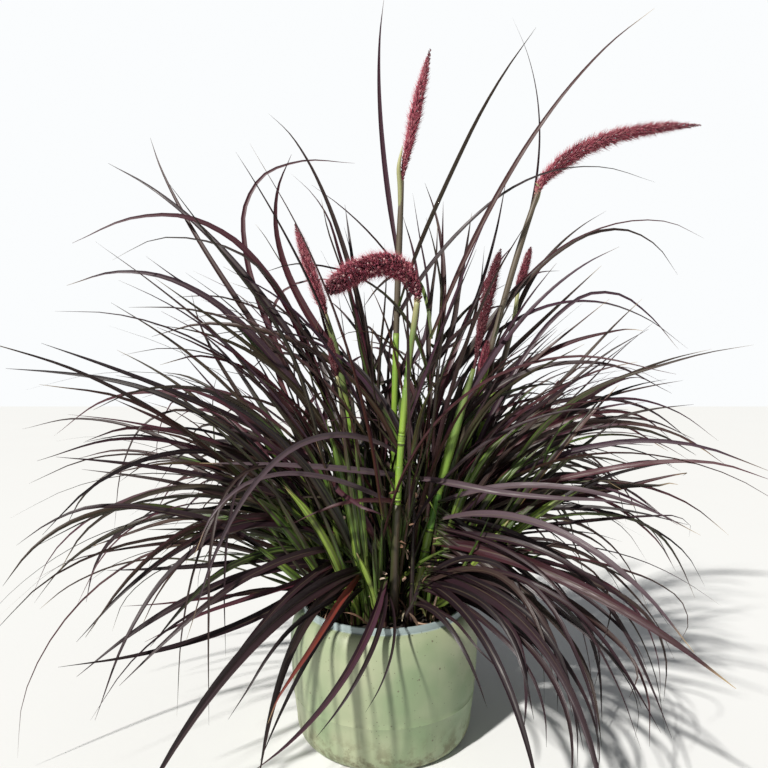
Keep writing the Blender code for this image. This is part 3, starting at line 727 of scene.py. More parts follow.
class Layout:
    """Where every stem, blade and plume of the clump lies."""

    def __init__(self) -> None:
        """Lay out the flower stems, then the drawn shoots, then the others."""
        self.stems: list[StemLines] = []
        self.shoots: list[ShootLines] = []
        self.placed: list[Band] = []
        self.sites = self.crown_sites(RULE.shoot_count + len(FLOWER_STEMS))
        for stem in FLOWER_STEMS:
            self.place_flower_stem(stem)
        for shoot in DRAWN_SHOOTS:
            self.place_drawn_shoot(shoot)
        self.grow_other_shoots()

    def crown_sites(self, count: int) -> list[Vector]:
        """Spread places over the soil like the seeds of a sunflower.

        Args:
            count: How many places there are.

        Returns:
            The places, from the middle outwards.
        """
        sites = []
        for index in range(count):
            outward = RULE.crown_radius * math.sqrt((index + 0.5) / count)
            turn = index * math.radians(RULE.golden_angle)
            sites.append(Vector((outward * math.cos(turn), outward * math.sin(turn),
                                 POT.soil_top + RULE.gap)))
        return sites

    def settled(self, line: Line, depth_ratio: float, most_turn: float,
                others: Sequence[Band] = ()) -> Optional[Line]:
        """The line turned the least that clears all that was placed before.

        Args:
            line: The line as drawn.
            depth_ratio: The depth of its section as a share of its width.
            most_turn: The most that it may be turned, in degrees.
            others: More bands that it has to clear.

        Returns:
            The turned line, or None where no turn clears the others.
        """
        taken = self.placed + list(others)
        step = math.radians(RULE.turn_step)
        for index in range(int(2 * math.radians(most_turn) / step) + 1):
            angle = step * ((index + 1) // 2) * (1 if index % 2 else -1)
            candidate = line.turned(angle)
            if not clears_pot(candidate.points[1:]):
                continue
            band = candidate.band(depth_ratio)
            if all(band.room_to(other) > RULE.band_clearance for other in taken):
                return candidate
        return None

    def stand(self, x: float, y: float, shape: Callable[[Vector], Line]) -> Line:
        """A stem on the nearest free place where it clears the others.

        Args:
            x: Where it would stand best, across.
            y: Where it would stand best, from front to back.
            shape: Makes the stem's line from its root.

        Returns:
            The stem's line.
        """
        for site in sorted(self.sites, key=lambda place: math.hypot(place.x - x, place.y - y)):
            line = self.settled(shape(site), 1.0, RULE.shoot_turn)
            if line:
                self.sites.remove(site)
                return line
        raise ValueError("no free place in the soil")

    def place_flower_stem(self, plan: StemPlan) -> None:
        """Lay out a flower stem, its flag blade and its plume.

        Args:
            plan: How the stem is drawn.
        """

        def shape(root: Vector) -> Line:
            """The stem's line from its root."""
            points = through(root, plan.middle, plan.top, RULE.stem_pieces)
            return stem_line(root, points, 2 * RULE.stem_radius, 2 * RULE.stem_top_radius)

        line = self.stand(*plan.root, shape)
        end = line.points[-1]
        onward = (end - line.points[-2]).normalized()
        base = end + onward * (RULE.gap + RULE.plume_gap)
        arc = through(base, plan.plume_middle, plan.plume_tip, RULE.plume_pieces)
        arc[1:1] = [base + onward * RULE.plume_neck]
        last = len(arc) - 1
        widths = [2 * plan.plume_radius * plume_share(index / last) for index in range(last + 1)]
        plume = Line(arc, widths, 2 * plan.plume_radius)
        own = [line.band(1.0), plume.band(1.0)]
        flags = []
        for flag in plan.flag:
            points = through(line.at(flag.along), flag.middle, flag.tip, RULE.blade_pieces)
            away = self.settled(blade_line(points, flag.width), RULE.blade_keel,
                                RULE.flag_turn, own[1:])
            if away:
                flags.append(away)
        self.placed.extend(own + [flag.band(RULE.blade_keel) for flag in flags])
        self.stems.append(StemLines(line, flags, plume))

    def add_shoot(self, stalk: Line, blades: list[Line]) -> None:
        """Keep a shoot and what its pieces take up.

        Args:
            stalk: The line of its stalk.
            blades: The lines of its blades.
        """
        self.shoots.append(ShootLines(stalk, blades))
        self.placed.append(stalk.band(1.0))
        self.placed.extend(blade.band(RULE.blade_keel) for blade in blades)

    def place_drawn_shoot(self, plan: ShootPlan) -> None:
        """Lay out a shoot whose blades are drawn one by one.

        Args:
            plan: How the shoot is drawn.
        """
        top = Vector(plan.top)

        def shape(root: Vector) -> Line:
            """Draw the stalk from its root.

            Args:
                root: Where it stands.

            Returns:
                The stalk's line.
            """
            bow = Vector((0.0, 0.0, RULE.shoot_bow * (top - root).length))
            points = through(root, root.lerp(top, 0.5) + bow, top, RULE.shoot_pieces + 1)
            return stem_line(root, points, 2 * RULE.shoot_radius, RULE.shoot_radius)

        line = self.stand(top.x, top.y, shape)
        blades = []
        for arc in plan.arcs:
            points = through(line.at(arc.along), arc.middle, arc.tip, RULE.blade_pieces)
            blade = self.settled(blade_line(points, arc.width), RULE.blade_keel, RULE.drawn_turn)
            if blade:
                blades.append(blade)
        self.add_shoot(line, blades)

    def grow_other_shoots(self) -> None:
        """Lay out the shoots that follow the rule, from the middle outwards."""
        chance = random.Random(RULE.seed)
        for root in list(self.sites):
            outward = math.hypot(root.x, root.y) / RULE.crown_radius
            heading = math.atan2(root.y, root.x) + degrees_in(chance, RULE.shoot_wander)
            facing = RULE.shoot_rise_front * facing_front(heading)
            rise = (RULE.shoot_rise - RULE.shoot_lean * outward
                    + chance.uniform(*RULE.shoot_rise_spread) + facing)
            rise = math.radians(min(RULE.shoot_rise_limit, rise))
            length = chance.uniform(*RULE.shoot_length)
            foot = root + Vector((0.0, 0.0, RULE.foot_rise))
            points = arch(foot, heading, rise, math.radians(RULE.shoot_fall), length, 0.0,
                          RULE.shoot_pieces)
            line = stem_line(root, points, 2 * RULE.shoot_radius, RULE.shoot_radius)
            line = self.settled(line, 1.0, RULE.shoot_turn)
            if line:
                self.add_shoot(line, self.grown_blades(line, heading, rise, chance))

    def grown_blades(self, line: Line, heading: float, rise: float,
                     chance: random.Random) -> list[Line]:
        """The blades of a shoot, which leave it on alternate sides.

        Args:
            line: The shoot's stalk.
            heading: The direction that the shoot leans in.
            rise: The slope of the shoot.
            chance: The seeded source of the spread.

        Returns:
            The blades that found a clear place.
        """
        blades = []
        for index in range(RULE.blades_a_shoot):
            side = 1 if index % 2 else -1
            start = line.at(RULE.first_blade + RULE.blade_spacing * index)
            turn = heading + side * degrees_in(chance, RULE.blade_aside)
            facing = facing_front(turn)
            lift = (rise - degrees_in(chance, RULE.blade_lean)
                    + math.radians(RULE.blade_lift_front) * facing)
            fall = degrees_in(chance, RULE.blade_fall) * (1 - RULE.blade_fall_front * facing)
            length = chance.uniform(*RULE.blade_length)
            swing = degrees_in(chance, RULE.blade_swing)
            width = RULE.blade_width * chance.uniform(*RULE.blade_size)
            points = arch(start, turn, lift, fall, length, swing, RULE.grown_pieces)
            blade = self.settled(blade_line(points, width), RULE.blade_keel, RULE.grown_turn)
            if blade:
                blades.append(blade)
        return blades


# ---- Finishes ----

class Desk:
    """A node tree being laid out, with short ways to add and join its nodes."""

    def __init__(self, tree: bpy.types.NodeTree) -> None:
        """Start on a tree."""
        self.tree = tree

    def add(self, kind: str, settings: Optional[dict] = None, **sockets: object) -> bpy.types.Node:
        """Add a node.

        Args:
            kind: The node's type.
            settings: Its properties.
            **sockets: Its inputs, by name with _ for a space: a value or another's output.

        Returns:
            The node.
        """
        node = self.tree.nodes.new(kind)
        for name, value in (settings or {}).items():
            setattr(node, name, value)
        for name, value in sockets.items():
            self.feed(node.inputs[name.replace("_", " ")], value)
        return node

    def feed(self, socket: Socket, value: object) -> None:
        """Join an output to an input, or set the input's own value.

        Args:
            socket: The input.
            value: A number, a colour, a vector or another node's output.
        """
        if isinstance(value, Socket):
            self.tree.links.new(value, socket)
        elif isinstance(value, tuple) and len(value) == 3 and socket.type == "RGBA":
            socket.default_value = (*value, 1.0)
        else:
            socket.default_value = value

    def attributes(self, *names: str) -> list[Socket]:
        """The values of mesh attributes."""
        return [self.add("ShaderNodeAttribute", {"attribute_name": name}).outputs["Fac"]
                for name in names]

    def place(self) -> Socket:
        """The place on the object, in metres."""
        return self.add("ShaderNodeTexCoord").outputs["Object"]

    def sum(self, operation: str, first: object, second: object = 0.0, third: object = 0.0,
            clamp: bool = False) -> Socket:
        """Reckon with one to three values.

        Args:
            operation: What the Math node does.
            first: Its first value.
            second: Its second value.
            third: Its third value.
            clamp: Whether the outcome is kept between 0 and 1.

        Returns:
            The outcome.
        """
        node = self.add("ShaderNodeMath", {"operation": operation, "use_clamp": clamp})
        for socket, value in zip(node.inputs, (first, second, third)):
            self.feed(socket, value)
        return node.outputs[0]

    def times(self, first: object, second: object) -> Socket:
        """One value times another."""
        return self.sum("MULTIPLY", first, second)

    def rise(self, value: object, factor: float, start: object) -> Socket:
        """A value times a factor, on top of a start."""
        return self.sum("MULTIPLY_ADD", value, factor, start)

    def step(self, value: object, low: float, high: float) -> Socket:
        """Make a smooth step from 0 to 1.

        Args:
            value: The value that it goes by.
            low: Where the step is 0.
            high: Where it is 1, which may be the lower of the two.

        Returns:
            The step.
        """
        node = self.add("ShaderNodeMapRange", {"interpolation_type": "SMOOTHSTEP"}, Value=value)
        ends = {"From Min": min(low, high), "From Max": max(low, high),
                "To Min": float(high < low), "To Max": float(low <= high)}
        for name, end in ends.items():
            node.inputs[name].default_value = end
        return node.outputs["Result"]

    def mix(self, share: object, first: object, second: object, blend: str = "MIX") -> Socket:
        """Mix two colours.

        Args:
            share: The share of the second.
            first: The first colour.
            second: The second colour.
            blend: How the second is laid over the first.

        Returns:
            The colour.
        """
        node = self.add("ShaderNodeMix", {"data_type": "RGBA", "blend_type": blend})
        self.feed(node.inputs["Factor"], share)
        self.feed(node.inputs[6], first)
        self.feed(node.inputs[7], second)
        return node.outputs[2]

    def tint(self, body: object, where: object, most: float, colour: object) -> Socket:
        """A colour laid over the body where a value is high, and at most by a share."""
        return self.mix(self.times(where, most), body, colour)

    def ramp(self, value: object, stops: Sequence[Stop]) -> Socket:
        """Look a colour up on a row of stops.

        Args:
            value: The place on the row.
            stops: The colours with their places.

        Returns:
            The colour.
        """
        node = self.add("ShaderNodeValToRGB", Fac=value)
        elements = node.color_ramp.elements
        while len(elements) < len(stops):
            elements.new(0.5)
        for element, (place, colour) in zip(elements, stops):
            element.position = place
            element.color = (*colour, 1.0)
        return node.outputs["Color"]

    def cloud(self, vector: object, scale: float, detail: float = 3.0,
              rough: float = 0.55) -> Socket:
        """A cloudy value around one half."""
        return self.add("ShaderNodeTexNoise", Vector=vector, Scale=scale, Detail=detail,
                        Roughness=rough).outputs["Fac"]

    def vector(self, x: object, y: object, z: object) -> Socket:
        """A vector from three values."""
        return self.add("ShaderNodeCombineXYZ", X=x, Y=y, Z=z).outputs["Vector"]

    def streaks(self, across: Socket, along: Socket, tone: Socket,
                count: float) -> tuple[Socket, ...]:
        """Draw the fine lines of a leaf or a stem.

        Args:
            across: The place across it.
            along: The place along it.
            tone: Its tone, which shifts the lines.
            count: How close the streaks and veins lie.

        Returns:
            The streaks, the blotches and the veins.
        """
        lines = self.add("ShaderNodeGroup", {"node_tree": leaf_streaks()},
                         Across=across, Along=along, Tone=tone, Count=count)
        return tuple(lines.outputs[name] for name in ("Streak", "Blotch", "Vein"))

    def specks(self, place: Socket, scale: float, size: float, share: float) -> Socket:
        """Small scattered specks: how close they lie, their size and how many there are."""
        return self.add("ShaderNodeGroup", {"node_tree": speckle()}, Place=place, Scale=scale,
                        Size=size, Share=share).outputs["Speck"]

    def dress(self, shader: bpy.types.Node, body: Socket, rough: Socket, height: Socket,
              strength: float, distance: float) -> None:
        """Give a shader its colour, its roughness and its relief.

        Args:
            shader: The Principled BSDF.
            body: Its colour.
            rough: Its roughness.
            height: The relief's height.
            strength: How strong the relief is.
            distance: How deep the relief is, in metres.
        """
        relief = self.add("ShaderNodeBump", Height=height, Strength=strength, Distance=distance)
        self.feed(shader.inputs["Base Color"], body)
        self.feed(shader.inputs["Roughness"], rough)
        self.feed(shader.inputs["Normal"], relief.outputs["Normal"])


def new_material(name: str) -> tuple[Material, Desk, bpy.types.Node]:
    """Start a material.

    Args:
        name: The material's name.

    Returns:
        The material, its node desk and its Principled BSDF.
    """
    material = bpy.data.materials.new(name)
    material.use_nodes = True
    return material, Desk(material.node_tree), material.node_tree.nodes["Principled BSDF"]


def new_group(name: str, inputs: dict[str, Optional[float]],
              outputs: Sequence[str]) -> tuple[Desk, list[Socket], list[Socket]]:
    """A shader node group.

    Args:
        name: The group's name.
        inputs: Its inputs with their usual values, None for a vector.
        outputs: The names of its outputs.

    Returns:
        Its desk, what its inputs give, and the sockets of its outputs.
    """
    group = bpy.data.node_groups.new(name, "ShaderNodeTree")
    for label, value in inputs.items():
        kind = "NodeSocketVector" if value is None else "NodeSocketFloat"
        socket = group.interface.new_socket(label, in_out="INPUT", socket_type=kind)
        if value is not None:
            socket.default_value = value
    for label in outputs:
        group.interface.new_socket(label, in_out="OUTPUT", socket_type="NodeSocketFloat")
    desk = Desk(group)
    given, out = desk.add("NodeGroupInput"), desk.add("NodeGroupOutput")
    return desk, list(given.outputs)[:len(inputs)], list(out.inputs)[:len(outputs)]


@cache
def leaf_streaks() -> bpy.types.NodeTree:
    """Make the fine parallel veins and streaks that run along a leaf or a stem.

    Returns:
        The group's nodes.
    """
    desk, (across, along, tone, count), (streak_out, blotch_out, vein_out) = new_group(
        "leaf_streaks", {"Across": 0.0, "Along": 0.0, "Tone": 0.5, "Count": 9.0},
        ("Streak", "Blotch", "Vein"))
    spread, seed = desk.times(across, count), desk.times(tone, 37.0)
    streak = desk.cloud(desk.vector(spread, desk.times(along, 4.0), seed), 1.0, 2.0, 0.6)
    blotch = desk.cloud(desk.vector(across, desk.times(along, 9.0), seed), 1.3, 3.0, 0.6)
    wave = desk.sum("SINE", desk.times(spread, 3.1))
    desk.feed(streak_out, desk.step(streak, 0.3, 0.7))
    desk.feed(blotch_out, desk.step(blotch, 0.35, 0.7))
    desk.feed(vein_out, desk.rise(wave, 0.5, 0.5))
    return desk.tree


@cache
def speckle() -> bpy.types.NodeTree:
    """Make small round specks, scattered unevenly over a surface.

    Returns:
        The group's nodes.
    """
    desk, (place, scale, size, share), (speck_out,) = new_group(
        "speckle", {"Place": None, "Scale": 400.0, "Size": 0.2, "Share": 0.5}, ("Speck",))
    cells = desk.add("ShaderNodeTexVoronoi", Vector=place, Scale=scale)
    colours = desk.add("ShaderNodeSeparateColor", Color=cells.outputs["Color"])
    small = desk.sum("LESS_THAN", cells.outputs["Distance"], size)
    picked = desk.sum("LESS_THAN", colours.outputs["Red"], share)
    desk.feed(speck_out, desk.times(small, picked))
    return desk.tree


@dataclass(frozen=True)
class LeafFinish:
    """A burgundy leaf: green at its foot, dark and softly shining towards its tip, with a painted
    grey-mauve sheen streaked over its upper face.
    """

    name: str = "leaf_burgundy"
    tones: tuple[Stop, ...] = (
        (0.0, (0.008, 0.004, 0.006)), (0.2, (0.022, 0.007, 0.012)),
        (0.34, (0.032, 0.02, 0.014)), (0.46, (0.068, 0.01, 0.018)),
        (0.58, (0.046, 0.016, 0.034)), (0.7, (0.036, 0.028, 0.012)),
        (0.84, (0.082, 0.008, 0.014)), (0.9, (0.036, 0.005, 0.009)),
        # The pale grey-mauve at 0.925 is the painted sheen tone of the front blades
        (0.925, (0.1, 0.072, 0.086)), (0.95, (0.24, 0.034, 0.018)),
        (1.0, (0.21, 0.15, 0.065)))
    greens: tuple[Stop, ...] = (
        (0.0, (0.03, 0.024, 0.014)), (0.35, (0.034, 0.048, 0.013)),
        (0.7, (0.066, 0.132, 0.018)), (1.0, (0.215, 0.3, 0.05)))
    # The colour of the painted sheen, laid in streaks over the upper face
    painted_sheen_tint: Colour = (0.066, 0.046, 0.058)
    underside: Colour = (0.042, 0.036, 0.015)
    blotch: Colour = (0.45, 0.35, 0.4)
    edge: Colour = (0.03, 0.008, 0.012)
    rib: Colour = (0.15, 0.12, 0.07)
    straw: Colour = (0.42, 0.31, 0.17)
    mark: Colour = (0.018, 0.01, 0.01)
    roughness: Pair = (0.36, 0.58)
    shine: float = 0.36

    def material(self) -> Material:
        """Mix the leaf's material.

        Returns:
            The material.
        """
        material, desk, shader = new_material(self.name)
        across, along, side, tone, green, mark = desk.attributes(
            "across", "along", "side", "tone", "green", "mark")
        streak, blotch, vein = desk.streaks(across, along, tone, 4.5)
        # Painted sheen: pale streaks on the upper face only, stronger on paler tones and away from
        # blotches
        sheen = desk.times(streak, desk.step(blotch, 1.1, 0.2))
        sheen = desk.times(sheen, desk.sum("MULTIPLY_ADD", tone, 1.15, 0.08, clamp=True))
        painted_sheen_share = desk.times(desk.step(side, -0.2, 0.6), desk.rise(sheen, 0.58, 0.02))
        body = desk.mix(painted_sheen_share, desk.ramp(tone, self.tones), self.painted_sheen_tint)
        below = desk.times(desk.step(side, 0.2, -0.6), desk.rise(streak, 0.5, 0.25))
        body = desk.mix(below, body, self.underside)
        body = desk.tint(body, blotch, 0.45, desk.mix(1.0, body, self.blotch, "MULTIPLY"))
        greenness = desk.rise(desk.sum("SUBTRACT", streak, 0.5), 0.55, green)
        fresh = desk.rise(tone, 0.25, desk.sum("SUBTRACT", greenness, 0.06))
        body = desk.mix(desk.step(greenness, 0.12, 0.62), body, desk.ramp(fresh, self.greens))
        outward = desk.sum("ABSOLUTE", across)
        body = desk.tint(body, desk.step(outward, 0.84, 0.97), 0.55, self.edge)
        rib = desk.times(desk.step(outward, 0.12, 0.03), desk.step(along, 0.9, 0.4))
        body = desk.tint(body, rib, 0.35, self.rib)
        dry = desk.times(desk.step(along, 0.9, 1.0), desk.step(tone, 0.45, 0.85))
        body = desk.tint(desk.mix(dry, body, self.straw), mark, 0.9, self.mark)
        smooth, dull = self.roughness
        height = desk.rise(vein, 0.5, desk.times(streak, 0.6))
        desk.dress(shader, body, desk.rise(blotch, dull - smooth, smooth), height, 0.35, 0.0004)
        shader.inputs["Specular IOR Level"].default_value = self.shine
        return material


@dataclass(frozen=True)
class StemFinish:
    """A flower stem: lime green, olive at its foot, with a dark ring at each node."""

    name: str = "stem_green"
    heights: tuple[Stop, ...] = (
        (0.0, (0.09, 0.06, 0.024)), (0.14, (0.2, 0.19, 0.05)),
        (0.24, (0.18, 0.32, 0.028)), (0.6, (0.29, 0.46, 0.048)),
        (0.82, (0.17, 0.19, 0.065)), (1.0, (0.15, 0.13, 0.06)))
    shade: Colour = (0.068, 0.245, 0.032)
    light: Colour = (0.42, 0.47, 0.15)
    sheath: Colour = (0.11, 0.088, 0.06)
    cream: Colour = (0.47, 0.44, 0.23)
    ring: Colour = (0.03, 0.014, 0.014)
    roughness: float = 0.38

    def material(self) -> Material:
        """Mix the stem's material.

        Returns:
            The material.
        """
        material, desk, shader = new_material(self.name)
        across, along, tone, green, mark, pale = desk.attributes(
            "across", "along", "tone", "green", "mark", "hair")
        streak, blotch, vein = desk.streaks(across, along, tone, 7.0)
        deep = desk.times(desk.step(tone, 0.93, 0.97), 0.85)
        deep = desk.sum("MAXIMUM", desk.times(blotch, 0.55), deep)
        body = desk.mix(deep, desk.ramp(along, self.heights), self.shade)
        body = desk.tint(body, streak, 0.2, self.light)
        body = desk.mix(desk.step(green, 0.7, 0.2), body, self.sheath)
        body = desk.tint(desk.mix(pale, body, self.cream), mark, 0.92, self.ring)
        desk.dress(shader, body, desk.rise(blotch, 0.15, self.roughness), vein, 0.15, 0.0003)
        return material


@dataclass(frozen=True)
class PlumeFinish:
    """A plume: crimson and maroon grains with paler, rosier bristles."""

    name: str = "plume_rose"
    grains: tuple[Stop, ...] = (
        (0.0, (0.03, 0.006, 0.012)), (0.35, (0.1, 0.014, 0.03)),
        (0.65, (0.23, 0.036, 0.066)), (0.84, (0.4, 0.13, 0.15)),
        (1.0, (0.7, 0.5, 0.48)))
    bristles: tuple[Stop, ...] = (
        (0.0, (0.21, 0.014, 0.036)), (0.55, (0.6, 0.09, 0.15)),
        (1.0, (0.82, 0.44, 0.45)))
    bristle_shade: Colour = (0.25, 0.04, 0.06)
    tip: Colour = (0.055, 0.018, 0.022)
    foot: Colour = (0.4, 0.38, 0.16)
    mottling: Colour = (0.1, 0.012, 0.03)
    maroon: Colour = (0.058, 0.008, 0.011)

    def material(self) -> Material:
        """Mix the plume's material.

        Returns:
            The material.
        """
        material, desk, shader = new_material(self.name)
        along, tone, hair, dark = desk.attributes("along", "tone", "hair", "mark")
        grain = desk.ramp(tone, self.grains)
        grain = desk.tint(grain, desk.step(along, 0.72, 1.0), 0.65, self.tip)
        bristle = desk.tint(desk.ramp(hair, self.bristles), tone, 0.5, self.bristle_shade)
        body = desk.mix(desk.step(hair, 0.01, 0.05), grain, bristle)
        body = desk.tint(body, desk.step(along, 0.06, 0.0), 0.45, self.foot)
        mottle = desk.cloud(desk.place(), 900.0, 2.0)
        body = desk.mix(dark, desk.tint(body, mottle, 0.2, self.mottling), self.maroon)
        desk.dress(shader, body, desk.rise(mottle, 0.2, 0.5), mottle, 0.3, 0.0003)
        return material


@dataclass(frozen=True)
class PotFinish:
    """Pale sage plastic: a whiter, bluish lip, partly its own paler colour and partly a painted
    sky reflection, fine specks, and soil stains at the foot.
    """

    name: str = "pot_plastic"
    wall: Colour = (0.345, 0.378, 0.243)
    # The darker green of broad patches: uneven plastic, its green partly a painted bounce light in
    # shade
    deep: Colour = (0.2, 0.278, 0.15)
    drip: Colour = (0.15, 0.175, 0.11)
    # The lip's colour: partly its own paler plastic, partly a painted reflection of the sky
    lip: Colour = (0.285, 0.35, 0.352)
    stain: Colour = (0.13, 0.11, 0.06)
    dirt: Colour = (0.11, 0.09, 0.055)
    roughness: float = 0.4
    lip_blend: float = 0.0006

    def material(self) -> Material:
        """Mix the pot's material.

        Returns:
            The material.
        """
        material, desk, shader = new_material(self.name)
        place = desk.place()
        height = desk.add("ShaderNodeSeparateXYZ", Vector=place).outputs["Z"]
        # Broad cloudy patches of the darker green, partly a painted green bounce light
        broad = desk.step(desk.cloud(place, 9.0), 0.35, 0.7)
        body = desk.mix(broad, self.wall, self.deep)
        smear = desk.add("ShaderNodeMapping", Vector=place, Scale=(60.0, 60.0, 6.0))
        drips = desk.cloud(smear.outputs["Vector"], 1.0, 3.0, 0.6)
        body = desk.tint(body, desk.step(drips, 0.56, 0.75), 0.22, self.drip)
        # Above the neck the lip colour, partly a painted sky reflection
        lip = desk.step(height, POT.neck - self.lip_blend, POT.neck + self.lip_blend)
        body = desk.mix(lip, body, self.lip)
        soiled = desk.times(desk.step(height, 0.055, 0.004),
                            desk.step(desk.cloud(place, 55.0, 4.0, 0.65), 0.44, 0.62))
        body = desk.tint(body, soiled, 0.75, self.stain)
        dirt = desk.sum("MAXIMUM", desk.specks(place, 330.0, 0.2, 0.1),
                        desk.specks(place, 120.0, 0.16, 0.06))
        body = desk.tint(body, dirt, 0.75, self.dirt)
        scuffs = desk.cloud(place, 240.0, 4.0, 0.7)
        rough = desk.rise(soiled, 0.3, desk.rise(scuffs, 0.18, self.roughness))
        desk.dress(shader, body, rough, scuffs, 0.06, 0.0008)
        return material


@dataclass(frozen=True)
class SoilFinish:
    """Damp, nearly black potting soil."""

    name: str = "soil_dark"
    dark: Colour = (0.014, 0.01, 0.008)
    light: Colour = (0.07, 0.048, 0.03)
    patch: Colour = (0.03, 0.02, 0.014)
    fleck: Colour = (0.23, 0.17, 0.1)

    def material(self) -> Material:
        """Mix the soil's material.

        Returns:
            The material.
        """
        material, desk, shader = new_material(self.name)
        place = desk.place()
        crumbs = desk.cloud(place, 420.0, 5.0, 0.7)
        body = desk.mix(desk.step(crumbs, 0.45, 0.72), self.dark, self.light)
        patches = desk.step(desk.cloud(place, 45.0), 0.5, 0.7)
        body = desk.tint(body, patches, 0.5, self.patch)
        body = desk.mix(desk.specks(place, 260.0, 0.22, 0.07), body, self.fleck)
        desk.dress(shader, body, desk.rise(crumbs, 0.25, 0.7), crumbs, 0.7, 0.0015)
        return material


@dataclass(frozen=True)
class StrawFinish:
    """Dry scraps of leaf and sheath: straw, tan and a little old green."""

    name: str = "dry_straw"
    tones: tuple[Stop, ...] = (
        (0.0, (0.12, 0.06, 0.04)), (0.35, (0.3, 0.17, 0.11)),
        (0.7, (0.56, 0.39, 0.29)), (0.9, (0.72, 0.58, 0.48)),
        (1.0, (0.28, 0.32, 0.09)))
    shade: Colour = (0.14, 0.085, 0.05)

    def material(self) -> Material:
        """Mix the scraps' material.

        Returns:
            The material.
        """
        material, desk, shader = new_material(self.name)
        across, along, tone = desk.attributes("across", "along", "tone")
        streak, blotch, vein = desk.streaks(across, along, tone, 6.0)
        body = desk.tint(desk.ramp(tone, self.tones), streak, 0.4, self.shade)
        desk.dress(shader, body, desk.rise(blotch, 0.2, 0.6), vein, 0.3, 0.0003)
        return material


# ---- Stock: closed bars that are laid along curves ----

# What the finishes read at each point of a piece
LAYERS = ("across", "along", "side", "tone", "green", "mark", "hair")

# Pairs of a section, clockwise from its top: the place across and the depth
# below the leaf's upper face, both as shares of the half width
LEAF_CORNERS: tuple[Pair, ...] = (
    (0.0, 0.03), (0.55, 0.0), (1.0, 0.0), (0.5, 0.12),
    (0.0, 0.26), (-0.5, 0.12), (-1.0, 0.0), (-0.55, 0.0))
PLAIN_LEAF_CORNERS: tuple[Pair, ...] = (
    (0.0, 0.0), (1.0, 0.0), (0.5, 0.13), (0.0, 0.24), (-0.5, 0.13), (-1.0, 0.0))


def round_corners(count: int) -> tuple[Pair, ...]:
    """The corners of a round section."""
    turns = [math.tau * index / count for index in range(count)]
    return tuple((math.sin(turn), -math.cos(turn)) for turn in turns)


@dataclass
class Course:
    """The way of a bar: at each ring its place, its directions and its sizes."""

    places: np.ndarray
    sides: np.ndarray
    faces: np.ndarray
    halves: np.ndarray
    cups: np.ndarray

    @classmethod
    def of(cls, places: Sequence[Vector], halves: Sequence[float], cup: float = 0.0,
           roll: float = 0.0, twist: float = 0.0) -> "Course":
        """Carry a sideways direction along a curve without turning about it.

        Args:
            places: The curve's places.
            halves: The section's half width at each.
            cup: How deep the section is folded, as a share of the half width.
            roll: The section's turn about the curve at its start, in radians.
            twist: How much more it is turned by the end, in radians.

        Returns:
            The course.
        """
        last = len(places) - 1
        chord = places[-1] - places[0]
        flat = Vector((chord.x, chord.y, 0.0))
        side = UP.cross(flat) if flat.length > 0.004 else Vector((1.0, 0.0, 0.0))
        sides, faces, cups = [], [], []
        for index in range(last + 1):
            ahead = places[min(index + 1, last)] - places[max(index - 1, 0)]
            ahead.normalize()
            side = (side - ahead * side.dot(ahead)).normalized()
            share = index / last
            turned = Matrix.Rotation(roll + twist * share, 3, ahead) @ side
            sides.append(tuple(turned))
            faces.append(tuple(ahead.cross(turned)))
            cups.append(cup * (0.55 + 0.9 * (1.0 - share) ** 3))
        return cls(np.array([tuple(place) for place in places]), np.array(sides),
                   np.array(faces), np.array(halves), np.array(cups))


